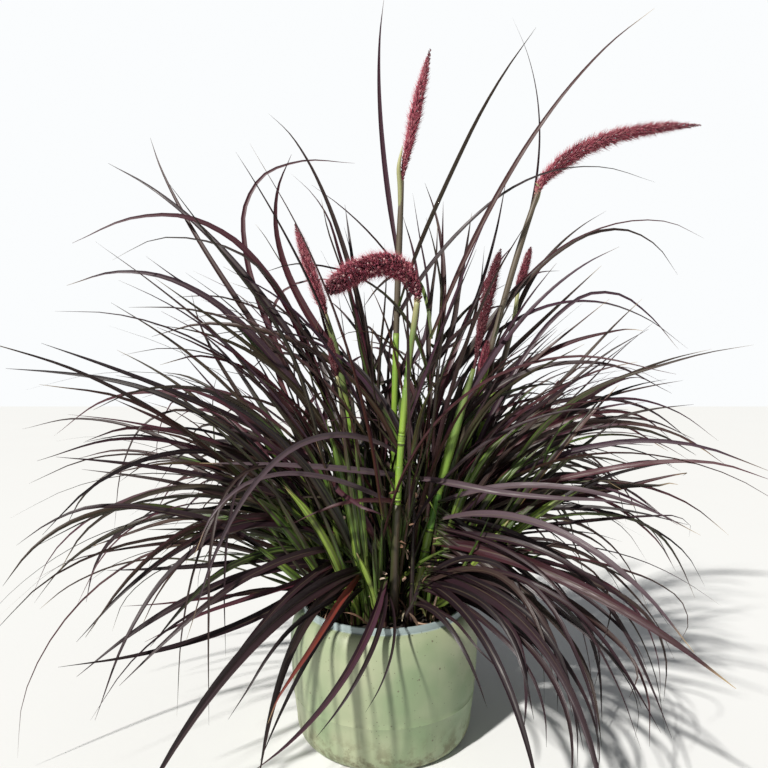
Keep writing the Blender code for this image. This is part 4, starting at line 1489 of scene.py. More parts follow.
class Bar:
    """A closed bar cut into rings, which can be laid along any number of courses."""

    def __init__(self, name: str, corners: Sequence[Pair], pieces: int) -> None:
        """Make the bar.

        Args:
            name: The name of its mesh.
            corners: The corners of its section.
            pieces: How many pieces its length is cut into.
        """
        count = len(corners)
        shape = bmesh.new()
        bmesh.ops.create_cone(shape, segments=count, cap_ends=True, radius1=1.0, radius2=1.0,
                              depth=float(pieces))
        lengthwise = [edge for edge in shape.edges
                      if abs(edge.verts[0].co.z - edge.verts[1].co.z) > 0.5 * pieces]
        if pieces > 1:
            bmesh.ops.subdivide_edges(shape, edges=lengthwise, cuts=pieces - 1)
        across, depth, ring = [], [], []
        for vertex in shape.verts:
            turn = math.atan2(vertex.co.x, vertex.co.y) % math.tau
            corner = corners[round(turn / math.tau * count) % count]
            across.append(corner[0])
            depth.append(corner[1])
            ring.append(round(vertex.co.z + 0.5 * pieces))
        for face in shape.faces:
            face.smooth = len(face.verts) == 4
        self.across, self.depth = np.array(across), np.array(depth)
        self.ring = np.array(ring)
        self.pieces = pieces
        self.shares = [index / pieces for index in range(pieces + 1)]
        if min(depth) >= 0.0:
            for edge in shape.edges:
                ends = [vertex.index for vertex in edge.verts]
                edge.smooth = any(abs(across[end]) < 1.0 for end in ends)
        self.mesh = bpy.data.meshes.new(name)
        shape.to_mesh(self.mesh)
        shape.free()

    def between(self, first: float, last: float) -> np.ndarray:
        """Even values from the first ring to the last."""
        return np.linspace(first, last, self.pieces + 1)

    def lay(self, into: Mesh, course: Course, **values: float | np.ndarray) -> None:
        """Add a copy of the bar, laid along a course.

        Args:
            into: The mesh that the copy goes in.
            course: The course.
            **values: What its attributes hold: one number, or one for each ring.
        """
        start = len(into.verts)
        into.from_mesh(self.mesh)
        into.verts.ensure_lookup_table()
        ring = self.ring
        wide = course.halves[ring, None]
        lift = (course.cups[ring] * np.abs(self.across) ** 1.3 - self.depth)[:, None]
        places = (course.places[ring] + course.sides[ring] * self.across[:, None] * wide
                  + course.faces[ring] * lift * wide)
        side = np.where(self.depth > 0.04, -1.0, np.where(np.abs(self.across) > 0.99, 0.0, 1.0))
        columns = {"across": self.across, "along": ring / self.pieces, "side": side}
        for name, value in values.items():
            spread = np.broadcast_to(np.asarray(value, dtype=float), (self.pieces + 1,))
            columns[name] = spread[ring]
        layers = [into.verts.layers.float[name] for name in columns]
        rows = zip(*(column.tolist() for column in columns.values()))
        for vertex, place, row in zip(into.verts[start:], places.tolist(), rows):
            vertex.co = place
            for layer, value in zip(layers, row):
                vertex[layer] = value


def new_mesh() -> Mesh:
    """Start a mesh that has the attributes that the finishes read.

    Returns:
        The empty mesh.
    """
    shape = bmesh.new()
    for name in LAYERS:
        shape.verts.layers.float.new(name)
    return shape


def add_piece(name: str, shape: Mesh, material: Material,
              node: Optional[str] = None) -> bpy.types.Object:
    """Make a mesh a named piece that rides on the body.

    Args:
        name: The piece's name.
        shape: Its mesh, which is freed.
        material: Its material.
        node: The solid that it takes the place of, if any.

    Returns:
        The piece.
    """
    mesh = bpy.data.meshes.new(name)
    shape.to_mesh(mesh)
    shape.free()
    mesh.materials.append(material)
    piece = bpy.data.objects.new(name, mesh)
    bpy.context.scene.collection.objects.link(piece)
    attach(piece, BODY)
    if node:
        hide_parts(node)
    return piece


# ---- Leafy shoots ----

class Habit(Enum):
    """The ways that a leaf of the clump can grow."""

    UPRIGHT = "upright"
    ARCHING = "arching"
    HANGING = "hanging"
    YOUNG = "young"
    WISP = "wisp"


@dataclass(frozen=True)
class HabitRange:
    """The ranges of a habit: angles in degrees, sizes in metres.

    The share is how often the habit comes up, and the slopes are those of the
    stalks that it grows from.
    """

    spread: Pair
    fall: Pair
    length: Pair
    width: Pair
    share: float
    slopes: Pair
    from_stalk: Pair


HABITS: dict[Habit, HabitRange] = {
    Habit.UPRIGHT: HabitRange((2, 20), (4, 55), (0.26, 0.48), (0.0052, 0.0108), 0.38, (52, 90),
                              (0.35, 1.0)),
    Habit.ARCHING: HabitRange((8, 38), (45, 115), (0.3, 0.5), (0.0062, 0.012), 0.36,
                              (20, 90), (0.35, 1.0)),
    Habit.HANGING: HabitRange((10, 45), (50, 110), (0.26, 0.44), (0.0065, 0.0115), 0.26,
                              (0, 56), (0.3, 0.95)),
    Habit.YOUNG: HabitRange((4, 40), (5, 60), (0.09, 0.2), (0.0045, 0.008), 0.14, (0, 90),
                            (0.15, 0.8)),
    Habit.WISP: HabitRange((5, 50), (20, 110), (0.24, 0.46), (0.0022, 0.0042), 0.12, (0, 90),
                           (0.4, 1.0)),
}


@dataclass(frozen=True)
class Greenness:
    """How green a leaf's foot is, and where along it the green starts and stops fading."""

    most: float = 1.0
    start: float = -0.03
    end: float = 0.03


@dataclass(frozen=True)
class Leaf:
    """A leaf: its places, its greatest width and how it is turned and coloured."""

    places: list[Vector]
    width: float
    roll: float
    twist: float
    tone: float
    green: Greenness
    fold: float = 0.35


@dataclass(frozen=True)
class Window:
    """A place at the front that most leaves stay out of, in metres."""

    across: Pair
    up: Pair
    chance: float


@dataclass(frozen=True)
class OpenFront:
    """What stays open to the front: the pot, the crown's middle and some of the culms.

    The chances say how many of the leaves are left out. The room round the culms and
    the fresh stalks is a slope as seen from the eye.
    """

    culms: np.ndarray
    fresh: np.ndarray
    windows: tuple[Window, ...] = (
        Window((-0.015, 0.102), (0.0, 0.172), 0.95),
        Window((-0.115, -0.015), (0.0, 0.172), 0.65),
        Window((-0.045, 0.062), (0.172, 0.3), 0.82),
        Window((-0.125, -0.045), (0.172, 0.27), 0.75))
    front: float = -0.09
    culm_room: float = 0.018
    culm_chance: float = 0.985
    fresh_room: float = 0.013
    fresh_chance: float = 0.9
    least_behind: float = 0.004
    steps: int = 30

    @staticmethod
    def seen(places: np.ndarray) -> tuple[np.ndarray, np.ndarray]:
        """Where places lie in the view from the eye, as slopes across and up."""
        away = places[:, 1] - EYE[1]
        return (places[:, 0] - EYE[0]) / away, (places[:, 2] - EYE[2]) / away

    def hidden_by(self, points: Sequence[Vector], chance: random.Random) -> bool:
        """True for most of the leaves that would hang in front of what stays open.

        Args:
            points: The leaf's points.
            chance: The seeded source of the few that stay.

        Returns:
            Whether the leaf is left out.
        """
        places = np.array([tuple(place) for place in smoothed(points, self.steps)])
        before = places[places[:, 1] < self.front]
        for window in self.windows:
            (left, right), (low, high) = window.across, window.up
            within = ((left < before[:, 0]) & (before[:, 0] < right)
                      & (low < before[:, 2]) & (before[:, 2] < high))
            if within.any() and chance.random() < window.chance:
                return True
        if self.veils(places, self.culms, self.culm_room) and chance.random() < self.culm_chance:
            return True
        return (self.veils(places, self.fresh, self.fresh_room)
                and chance.random() < self.fresh_chance)

    def veils(self, places: np.ndarray, kept: np.ndarray, room: float) -> bool:
        """True where places lie before others as seen from the eye.

        Args:
            places: The places that may be in the way.
            kept: The places that should be seen.
            room: How near they may come to each other in the view.

        Returns:
            Whether any is in the way.
        """
        across, up = self.seen(places)
        kept_across, kept_up = self.seen(kept)
        return bool(((places[:, 1, None] < kept[None, :, 1] - self.least_behind)
                     & (np.abs(across[:, None] - kept_across) < room)
                     & (np.abs(up[:, None] - kept_up) < room)).any())


def leaf_share(share: float) -> float:
    """A leaf's width at a share of its length: a narrow foot and a long sharp tip."""
    return max(0.03, min(1.0, 0.52 + 1.9 * share) * (1.0 - share ** 2.2) ** 0.95)


@dataclass
class LeafStock:
    """The bars that leaves and stalks are made from."""

    fine: Bar
    plain: Bar
    stalk: Bar

    @classmethod
    def make(cls) -> "LeafStock":
        """Make the bars."""
        return cls(Bar("fine_leaf", LEAF_CORNERS, 26), Bar("plain_leaf", PLAIN_LEAF_CORNERS, 18),
                   Bar("stalk", round_corners(8), 18))


# How far apart the three measures of a leaf's wandering are read
WANDER_FROM = (Vector((0.0, 0.0, 0.0)), Vector((31.4, 17.2, 5.9)),
               Vector((-12.7, 43.1, 28.6)))
# How far up the green of the drawn stalks fades away, in metres
FRESH_REACH = (0.45, 0.8)
# How green they are
FRESH_GREENS = (0.5, 1.0)


@dataclass
class LeafyShoot:
    """A shoot with its stalk, the leaves that its solid has, and finer ones round them."""

    number: int
    lines: ShootLines
    stock: LeafStock
    open_front: OpenFront
    blade_tones: dict[int, float] = field(default_factory=dict)
    arcs: tuple[Arc, ...] = ()
    drawn_stalks: tuple[Stalk, ...] = ()
    # Whether its own blades take the painted sheen tone
    sheen: bool = False
    companions: tuple[int, int, int] = (15, 32, 50)
    side_from: float = 0.045
    siblings: int = 1
    sibling_width: Pair = (0.65, 1.0)
    side_tillers: int = 3
    slimmer: float = 0.82
    green_share: float = 0.16
    olive_share: float = 0.55
    lime_height: float = 0.32
    stalk_green: Pair = (0.45, 0.8)
    tiller_width: Pair = (0.005, 0.0074)
    tiller_growth: float = 1.0
    tiller_away: Pair = (0.007, 0.014)
    tiller_limit: float = 1.06
    tiller_turn: float = 0.45
    tiller_rise: float = math.radians(28)
    tiller_fall: float = 0.12
    tones: Pair = (0.44, 0.26)
    tone_limits: Pair = (0.02, 0.88)
    dry_share: float = 0.006
    sway_size: float = 0.035
    sway_pitch: float = 2.2
    box_margin: float = 0.004
    dense_middle: float = 0.2
    dense_reach: Pair = (0.48, 0.06)
    arc_pieces: int = 7
    arc_sway: float = 0.5
    chance: random.Random = field(init=False)

    def __post_init__(self) -> None:
        """Start the shoot's mesh and seed its own spread."""
        self.shape = new_mesh()
        self.chance = random.Random(1000 + self.number)

    def leaf_count(self) -> int:
        """Count the finer leaves that grow from its stalks: fewer on the clump's left.

        Returns:
            How many there are.
        """
        across = self.lines.stalk.points[-1].x
        left, middle, right = self.companions
        if abs(across) < self.side_from:
            return middle
        return right if across > 0.0 else left

    def greens(self, height: float) -> Greenness:
        """Choose how green a leaf is: few low ones are lime, many stay olive for longer.

        Args:
            height: The height that it grows from.

        Returns:
            Its greenness.
        """
        chance = self.chance
        if chance.random() < self.green_share and height < self.lime_height:
            return Greenness(1.0, chance.uniform(0.0, 0.05), chance.uniform(0.09, 0.18))
        if chance.random() < self.olive_share:
            return Greenness(chance.uniform(0.25, 0.6), chance.uniform(0.02, 0.12),
                             chance.uniform(0.16, 0.38))
        return Greenness(0.9, chance.uniform(-0.04, 0.0), chance.uniform(0.01, 0.05))

    def tone(self) -> float:
        """Choose a leaf's tone: very few are dry.

        Returns:
            Its place on the row of tones.
        """
        if self.chance.random() < self.dry_share:
            return 1.0
        darkest, palest = self.tone_limits
        return min(palest, max(darkest, self.chance.gauss(*self.tones)))

    def lay_leaf(self, bar: Bar, leaf: Leaf) -> None:
        """Add a leaf.

        Args:
            bar: The bar that it is made from.
            leaf: The leaf.
        """
        halves = [0.5 * leaf.width * leaf_share(share) for share in bar.shares]
        course = Course.of(leaf.places, halves, leaf.fold, leaf.roll, leaf.twist)
        steps = np.linalg.norm(np.diff(course.places, axis=0), axis=1)
        way = np.concatenate(([0.0], np.cumsum(steps)))
        foot = leaf.green
        green = np.clip(1.0 - (way - foot.start) / (foot.end - foot.start), 0.0, 1.0)
        bar.lay(self.shape, course, tone=leaf.tone, green=green * foot.most)

    def lay_stalk(self, line: Line, reach: Pair = (0.22, 0.5),
                  greens: Optional[Pair] = None) -> None:
        """Add a stalk: leaf sheaths wrapped round each other, closing to a point.

        Args:
            line: The stalk's line with its widths.
            reach: The range of how far up its green fades away, in metres.
            greens: The range of how green it is, where that isn't the shoot's own.
        """
        bar, foot, top = self.stock.stalk, 0.5 * line.widths[0], 0.5 * line.widths[-1]
        halves, marks = [], []
        steps = self.chance.uniform(2.2, 3.6)
        for share in bar.shares:
            wrapped = 1.0 - (share * steps) % 1.0
            closing = min(1.0, 0.1 + 4.5 * (1.0 - share))
            halves.append((foot + (top - foot) * share) * (0.9 + 0.14 * wrapped) * closing)
            marks.append(0.75 if wrapped < 0.16 else 0.0)
        course = Course.of(line.smooth(bar.pieces), halves)
        way = bar.between(0.0, line.length())
        green = np.clip(1.15 - way / self.chance.uniform(*reach), 0.0, 1.0)
        green = green * np.clip(0.3 + way / 0.06, 0.0, 1.0)
        green = green * self.chance.uniform(*(greens or self.stalk_green))
        bar.lay(self.shape, course, tone=self.chance.uniform(0.05, 0.95), green=green,
                mark=np.array(marks))

    def lay_wrap(self, line: Line) -> None:
        """Add the folded blades that stand close beside a stalk and part from it.

        Args:
            line: The stalk's line with its widths.
        """
        chance, bar = self.chance, self.stock.plain
        for aside in (-1.0, 1.0):
            start = chance.uniform(0.25, 0.55)
            shares = [start + (1.02 - start) * index / 4 for index in range(5)]
            points = []
            for index, share in enumerate(shares):
                away = aside * line.full_width * (0.3 + 0.1 * index * index)
                points.append(line.at(min(1.0, share)) + Vector((away, -0.004, 0.004 * index)))
            width = line.full_width * chance.uniform(0.55, 0.85)
            green = Greenness(chance.uniform(0.35, 1.0), 0.02, chance.uniform(0.12, 0.3))
            self.lay_leaf(bar, Leaf(smoothed(points, bar.pieces), width,
                                    aside * chance.uniform(0.5, 1.0), 0.3, self.tone(),
                                    green, 0.6))

    def tiller(self) -> Optional[Line]:
        """A thinner stalk beside the shoot's own, which leans further out.

        Returns:
            Its line, or None where it would stand outside the soil or before a stem.
        """
        chance = self.chance
        root, top = self.lines.stalk.points[0], self.lines.stalk.points[-1]
        away, out = chance.uniform(0.0, math.tau), chance.uniform(*self.tiller_away)
        foot = root + Vector((out * math.cos(away), out * math.sin(away), 0.0))
        outward = math.hypot(foot.x, foot.y) / RULE.crown_radius
        if outward > self.tiller_limit:
            return None
        lean = top - root
        heading = math.atan2(foot.y, foot.x) + chance.gauss(0.0, self.tiller_turn)
        rise = math.atan2(lean.z, math.hypot(lean.x, lean.y))
        rise = max(self.tiller_rise, rise - chance.uniform(0.0, 0.15 + 0.5 * outward))
        length = chance.uniform(0.12, 0.34 - 0.16 * outward) * self.tiller_growth
        points = arch(foot + UP * RULE.foot_rise, heading, rise, self.tiller_fall, length,
                      0.0, 3)
        if not clears_pot(points) or self.open_front.hidden_by(points, chance):
            return None
        width = chance.uniform(*self.tiller_width)
        return stem_line(foot, points, width, 0.6 * width)

    def sibling(self, blade: Line) -> Optional[Leaf]:
        """A leaf beside one of the shoot's own, on nearly the same way.

        Args:
            blade: The shoot's own leaf.

        Returns:
            The leaf, or None where there is no room for it.
        """
        chance = self.chance
        line = blade.turned(degrees_about(chance, 0.0, 8.0))
        foot = self.lines.stalk.at(chance.uniform(0.45, 1.0))
        size = chance.uniform(0.68, 1.0)
        points = [foot + (point - line.points[0]) * size for point in line.points]
        self.sway(points, 1.3 * blade.length())
        if not self.has_room(points):
            return None
        width = blade.full_width * chance.uniform(*self.sibling_width)
        places = smoothed(points, self.stock.plain.pieces)
        return Leaf(places, width, self.front_roll(blade),
                    degrees_about(chance, 0.0, 45.0), self.tone(), self.greens(foot.z),
                    chance.uniform(0.3, 0.8))

    def companion(self, stalk: Line, spear: bool) -> Optional[Leaf]:
        """A leaf that grows from a stalk by one of the habits.

        Args:
            stalk: The stalk.
            spear: Whether it is the stalk's last leaf, which goes on straight.

        Returns:
            The leaf, or None where there is no room for it.
        """
        chance = self.chance
        lean = stalk.points[-1] - stalk.points[0]
        slope = math.degrees(math.atan2(lean.z, math.hypot(lean.x, lean.y)))
        usual = [habit for habit, span in HABITS.items()
                 if span.slopes[0] <= slope <= span.slopes[1]]
        habit = chance.choices(usual, [HABITS[each].share for each in usual])[0]
        span = HABITS[habit]
        from_share = 0.9 if spear else chance.uniform(*span.from_stalk)
        start = stalk.at(from_share)
        ahead = (stalk.at(min(1.0, from_share + 0.08)) - stalk.at(from_share - 0.08)).normalized()
        aside = Matrix.Rotation(chance.uniform(0.0, math.tau), 3, ahead) @ ahead.orthogonal()
        spread = 0.04 if spear else degrees_in(chance, span.spread)
        way = ahead * math.cos(spread) + aside.normalized() * math.sin(spread)
        points = arch(start, math.atan2(way.y, way.x), math.asin(max(-1.0, min(1.0, way.z))),
                      degrees_in(chance, span.fall), chance.uniform(*span.length),
                      chance.gauss(0.0, 0.3), 7)
        self.sway(points, span.length[1])
        if not self.has_room(points) or self.too_high(points):
            return None
        places = smoothed(points, self.stock.plain.pieces)
        return Leaf(places, chance.uniform(*span.width),
                    degrees_about(chance, 0.0, 55.0), degrees_about(chance, 0.0, 60.0),
                    self.tone(), self.greens(start.z), chance.uniform(0.3, 0.9))

    def front_roll(self, blade: Line) -> float:
        """A roll that lets a blade's upper face lean to the front, in radians."""
        lean = degrees_about(self.chance, 52.0, 16.0)
        return math.copysign(lean, blade.points[-1].x - blade.points[0].x)

    def sway(self, points: list[Vector], length: float) -> None:
        """Bend a leaf a little, more towards its tip.

        Args:
            points: Its points, which are moved.
            length: Its length, which the bend grows with.
        """
        seed = Vector((self.chance.uniform(0, 50), self.chance.uniform(0, 50), 0.0))
        for index, point in enumerate(points):
            share = index / (len(points) - 1)
            spot = seed + UP * share * self.sway_pitch
            wander = Vector(noise.noise(spot + apart) for apart in WANDER_FROM)
            point += wander * self.sway_size * length * share

    def has_room(self, points: list[Vector]) -> bool:
        """Tell whether a leaf clears the pot, keeps the front open and stays in the box.

        Args:
            points: The leaf's points.

        Returns:
            True where it does.
        """
        (low, high), margin = SOLID_BOX, self.box_margin
        inside = all(low[axis] + margin < point[axis] < high[axis] - margin
                     for point in points for axis in range(3))
        return inside and clears_pot(points[1:]) and not self.open_front.hidden_by(
            points, self.chance)

    def too_high(self, points: list[Vector]) -> bool:
        """True for most leaves that rise past the clump's dense part."""
        out = max((point - UP * self.dense_middle).length for point in points)
        return out > self.chance.gauss(*self.dense_reach)

    def lay_blades(self) -> list[Leaf]:
        """Add the leaves that the shoot's solid has.

        Returns:
            The leaves that grow beside them, not added yet.
        """
        chance, bar, finer = self.chance, self.stock.fine, []
        for index, blade in enumerate(self.lines.blades):
            tone = min(0.9, max(0.05, chance.gauss(self.tones[0] - 0.02, 0.2)))
            # Blades of the sheen shoots take the painted sheen tone
            if self.sheen:
                tone = SHEEN_TONE
            tone = self.blade_tones.get(index, tone)
            self.lay_leaf(bar, Leaf(
                blade.smooth(bar.pieces), self.slimmer * blade.full_width,
                self.front_roll(blade), degrees_about(chance, 0.0, 22.0), tone, Greenness(),
                chance.uniform(0.45, 0.85)))
            beside = [self.sibling(blade) for _ in range(self.siblings)]
            if index not in self.blade_tones:
                finer += beside
        return [leaf for leaf in finer if leaf]

    def lay_arcs(self) -> None:
        """Add the leaves that are drawn one by one."""
        chance, bar = self.chance, self.stock.fine
        for arc in self.arcs:
            points = through(self.lines.stalk.at(arc.along), arc.middle, arc.tip,
                             self.arc_pieces)
            self.sway(points, self.arc_sway)
            line = Line(points, [])
            twist, tone = degrees_about(chance, 0.0, 30.0), self.tone()
            self.lay_leaf(bar, Leaf(
                line.smooth(bar.pieces), arc.width, self.front_roll(line), twist,
                tone if arc.tone is None else arc.tone, Greenness(),
                chance.uniform(0.4, 0.9)))

    def lay_stalks(self) -> list[Line]:
        """Add the stalks beside the shoot's own, and those that are drawn one by one.

        Returns:
            Their lines.
        """
        stalks = []
        for _ in range(self.side_tillers):
            tiller = self.tiller()
            if tiller:
                self.lay_stalk(tiller)
                stalks.append(tiller)
        for drawn in self.drawn_stalks:
            line = drawn.line()
            self.lay_stalk(line, FRESH_REACH, FRESH_GREENS)
            self.lay_wrap(line)
            stalks.append(line)
        return stalks

    def build(self, material: Material) -> tuple[str, int]:
        """Make the shoot.

        Args:
            material: The leaf's material.

        Returns:
            The object's name and its number of leaves.
        """
        self.lay_stalk(self.lines.stalk)
        finer = self.lay_blades()
        self.lay_arcs()
        stalks = [self.lines.stalk, *self.lay_stalks()]
        others = [self.companion(stalk, True) for stalk in stalks]
        for index in range(self.leaf_count()):
            others.append(self.companion(stalks[index % len(stalks)], False))
        finer += [leaf for leaf in others if leaf]
        for leaf in finer:
            self.lay_leaf(self.stock.plain, leaf)
        node = f"shoot_{self.number:02d}"
        piece = add_piece(f"leafy_{node}", self.shape, material, node)
        return piece.name, len(self.lines.blades) + len(self.arcs) + len(finer)


# ---- Flower stems ----

@dataclass(frozen=True)
class FlagSheath:
    """The sheath below a plume: where it starts and ends, its swelling, its greenness."""

    start: float = 0.6
    end: float = 0.9
    swell: float = 1.3
    green: float = 0.2
    deepness: float = 0.0


@dataclass(frozen=True)
class CulmLook:
    """What a flower stem shows: its nodes, its thickness and its sheaths.

    The thickness of its foot and of its top is against its solid's. The spathe is how
    far an open sheath reaches up along the plume, dried_to is the height that a dried
    sheath reaches, and deep_green is the node above which the sheath is deep green.
    """

    nodes: tuple[float, ...]
    foot: float = 1.0
    top: float = 1.3
    flag: Optional[FlagSheath] = FlagSheath()
    spathe: float = 0.0
    dried_to: float = 0.0
    deep_green: int = -1


CULM_LOOKS = (
    CulmLook((0.262, 0.395, 0.56), flag=FlagSheath(0.56, 1.0, 1.3, 0.1), spathe=0.07),
    CulmLook((0.255, 0.365, 0.52), flag=FlagSheath(0.58, 1.0, 1.35, 0.1), spathe=0.026),
    CulmLook((0.244, 0.27, 0.331, 0.358), 1.34, 1.2,
             FlagSheath(0.4, 1.0, 1.75, 0.85, 0.948), deep_green=1),
    CulmLook((0.238, 0.318)),
    CulmLook((0.272, 0.41), top=1.2),
    CulmLook((0.321, 0.391, 0.401), top=1.45, flag=None, dried_to=0.316),
    CulmLook((0.252, 0.34, 0.452), flag=FlagSheath(0.66, 1.0, 1.3, 0.5)),
    CulmLook((0.247, 0.338), top=1.2),
    CulmLook((0.235, 0.305), top=1.2),
)


@dataclass
class StemStock:
    """The bars that flower stems are made from."""

    culm: Bar
    collar: Bar
    sheath: Bar

    @classmethod
    def make(cls) -> "StemStock":
        """Make the bars."""
        return cls(Bar("culm", round_corners(12), 60), Bar("collar", round_corners(12), 6),
                   Bar("sheath", round_corners(12), 14))


@dataclass
class FlowerStem:
    """A flower stem with its nodes and sheaths, and the leaves that it carries."""

    number: int
    lines: StemLines
    look: CulmLook
    stock: StemStock
    leaf_stock: LeafStock
    open_front: OpenFront
    collar_length: float = 0.0056
    sheath_thickness: float = 1.14
    dried_thickness: float = 1.22
    last_sheath: float = 0.8
    spathe_half: float = 0.0034
    spathe_aside: Triple = (0.0042, 0.008, 0.0104)
    node_leaf_length: Pair = (0.22, 0.4)
    node_leaf_width: Pair = (0.006, 0.0095)
    chance: random.Random = field(init=False)

    def __post_init__(self) -> None:
        """Start the stem's mesh, seed its own spread and find its smooth line."""
        self.shape = new_mesh()
        self.chance = random.Random(2000 + self.number)
        self.places = self.lines.stem.smooth(240)

    def half(self, share: float) -> float:
        """Find how thick the stem is.

        Args:
            share: The share of the stem's length.

        Returns:
            The stem's radius there.
        """
        foot = self.lines.stem.widths[0] * self.look.foot
        top = self.lines.stem.widths[-1] * self.look.top
        return 0.5 * (foot + (top - foot) * share)

    def stretch(self, start: float, end: float, pieces: int) -> list[Vector]:
        """Find places on a stretch of the stem.

        Args:
            start: The share of the stem's length where it starts.
            end: The share where it ends.
            pieces: How many steps it is cut into.

        Returns:
            The places.
        """
        last = len(self.places) - 1
        found = []
        for index in range(pieces + 1):
            place = (start + (end - start) * index / pieces) * last
            low = min(last - 1, max(0, int(place)))
            found.append(self.places[low].lerp(self.places[low + 1], place - low))
        return found

    def share_at(self, height: float) -> float:
        """The share of the stem's length where it reaches a height."""
        last = len(self.places) - 1
        return min(range(last + 1), key=lambda i: abs(self.places[i].z - height)) / last

    def lay_sleeve(self, bar: Bar, start: float, end: float,
                   sizes: Callable[[float], float], **values: float | np.ndarray) -> None:
        """Add a sleeve round a stretch of the stem.

        Args:
            bar: The bar that it is made from.
            start: The share of the stem's length where it starts.
            end: The share where it ends.
            sizes: Its thickness against the stem's, from the share of its own length.
            **values: What its attributes hold.
        """
        halves = [self.half(start + (end - start) * own) * sizes(own) for own in bar.shares]
        course = Course.of(self.stretch(start, end, bar.pieces), halves)
        bar.lay(self.shape, course, **values)

    def lay_stem(self) -> None:
        """Add the stem itself with its sheaths and its nodes."""
        look, flag, culm, sheath = self.look, self.look.flag, self.stock.culm, self.stock.sheath
        tone = self.chance.uniform(0.2, 0.8)
        along = culm.between(0.0, 1.0)
        halves = [self.half(share) for share in along]
        course = Course.of(self.lines.stem.smooth(culm.pieces), halves)
        culm.lay(self.shape, course, tone=tone, along=along, green=1.0,
                 hair=0.7 * np.clip((along - 0.88) / 0.12, 0.0, 1.0))
        for index, height in enumerate(look.nodes):
            if not flag or self.share_at(height) <= flag.start:
                self.lay_node(index, tone)
        if look.dried_to:
            self.lay_sleeve(sheath, 0.02, self.share_at(look.dried_to),
                            lambda own: self.dried_thickness + 0.08 * math.sin(9.0 * own),
                            tone=tone, green=0.85, along=0.0, mark=sheath.between(0.97, 0.72))
        if look.spathe:
            self.lay_spathe()
        if flag:
            self.lay_sleeve(sheath, flag.start, flag.end,
                            lambda own: 1.02 + (flag.swell - 1.0) * math.sin(
                                math.pi * own ** 1.5),
                            tone=max(tone, flag.deepness), green=flag.green,
                            along=sheath.between(flag.start, flag.end))

    def lay_node(self, index: int, tone: float) -> None:
        """Add a node and the sheath that stands on it.

        Args:
            index: Which node it is, counted from the foot.
            tone: The stem's tone.
        """
        nodes, sheath = self.look.nodes, self.stock.sheath
        at = self.share_at(nodes[index])
        half_collar = 0.5 * self.collar_length / self.lines.stem.length()
        self.lay_sleeve(self.stock.collar, at - half_collar, at + half_collar,
                        lambda own: 1.02 + 0.16 * math.sin(math.pi * own), tone=tone,
                        along=at, green=0.85, mark=np.array((0, 0.2, 1, 1, 0.3, 0, 0)))
        following = self.last_sheath
        if index + 1 < len(nodes):
            following = self.share_at(nodes[index + 1])
        end = at + half_collar + (following - at) * self.chance.uniform(0.55, 0.85)
        marks = np.zeros(sheath.pieces + 1)
        marks[-1] = 0.5
        deep = index == self.look.deep_green
        tone_here = 1.0 if deep else self.chance.uniform(0, 0.9)
        self.lay_sleeve(sheath, at + half_collar, end,
                        lambda own: 1.04 + (self.sheath_thickness - 1.0) * own,
                        tone=tone_here, green=self.chance.uniform(0.45, 0.95),
                        along=sheath.between(at, end), mark=marks)

    def lay_spathe(self) -> None:
        """Add the open sheath that stands beside the foot of the plume."""
        plume, bar = self.lines.plume, self.stock.sheath
        foot = self.stretch(0.93, 1.0, 1)
        aside = Vector((-0.8, -0.6, 0.0))
        share = self.look.spathe / plume.length()
        low, middle, high = self.spathe_aside
        points = [foot[0], foot[1] + aside * low, plume.at(0.5 * share) + aside * middle,
                  plume.at(share) + aside * high]
        halves = [self.spathe_half * (1.0 - 0.9 * own ** 4) for own in bar.shares]
        course = Course.of(smoothed(points, bar.pieces), halves)
        bar.lay(self.shape, course, tone=0.3, green=0.45,
                along=bar.between(0.9, 0.62), hair=bar.between(0.35, 0.85))

    def lay_leaves(self) -> tuple[Mesh, int]:
        """Add the flag leaves and a leaf at some of the nodes.

        Returns:
            Their mesh and how many there are.
        """
        fine, plain = self.leaf_stock.fine, self.leaf_stock.plain
        helper = LeafyShoot(100 + self.number, ShootLines(self.lines.stem, self.lines.flags),
                            self.leaf_stock, self.open_front)
        chance, leaves = self.chance, 0
        for flag in self.lines.flags:
            helper.lay_leaf(fine, Leaf(
                flag.smooth(fine.pieces), flag.full_width, helper.front_roll(flag),
                degrees_about(chance, 0.0, 20.0), chance.uniform(0.3, 0.7), Greenness()))
            leaves += 1
        for height in self.look.nodes:
            start = self.places[round(self.share_at(height) * (len(self.places) - 1))]
            heading = chance.uniform(0.0, math.tau)
            points = arch(start, heading, degrees_in(chance, (55, 80)),
                          degrees_in(chance, (20, 100)), chance.uniform(*self.node_leaf_length),
                          chance.gauss(0.0, 0.3), 7)
            helper.sway(points, 0.3)
            if helper.has_room(points):
                helper.lay_leaf(plain, Leaf(
                    smoothed(points, plain.pieces), chance.uniform(*self.node_leaf_width),
                    degrees_about(chance, 0.0, 38.0), degrees_about(chance, 0.0, 50.0),
                    chance.uniform(0.2, 0.75), Greenness(1.0, 0.0, 0.06), 0.5))
                leaves += 1
        return helper.shape, leaves

    def build(self, green: Material, burgundy: Material) -> tuple[str, int]:
        """Make the stem and its leaves.

        Args:
            green: The stem's material.
            burgundy: The leaves' material.

        Returns:
            The stem object's name and its number of leaves.
        """
        node = f"flower_stem_{self.number}"
        self.lay_stem()
        culm = add_piece(f"culm_{self.number}", self.shape, green, node)
        leaves, count = self.lay_leaves()
        add_piece(f"culm_leaves_{self.number}", leaves, burgundy, node)
        return culm.name, count


# ---- Plumes ----

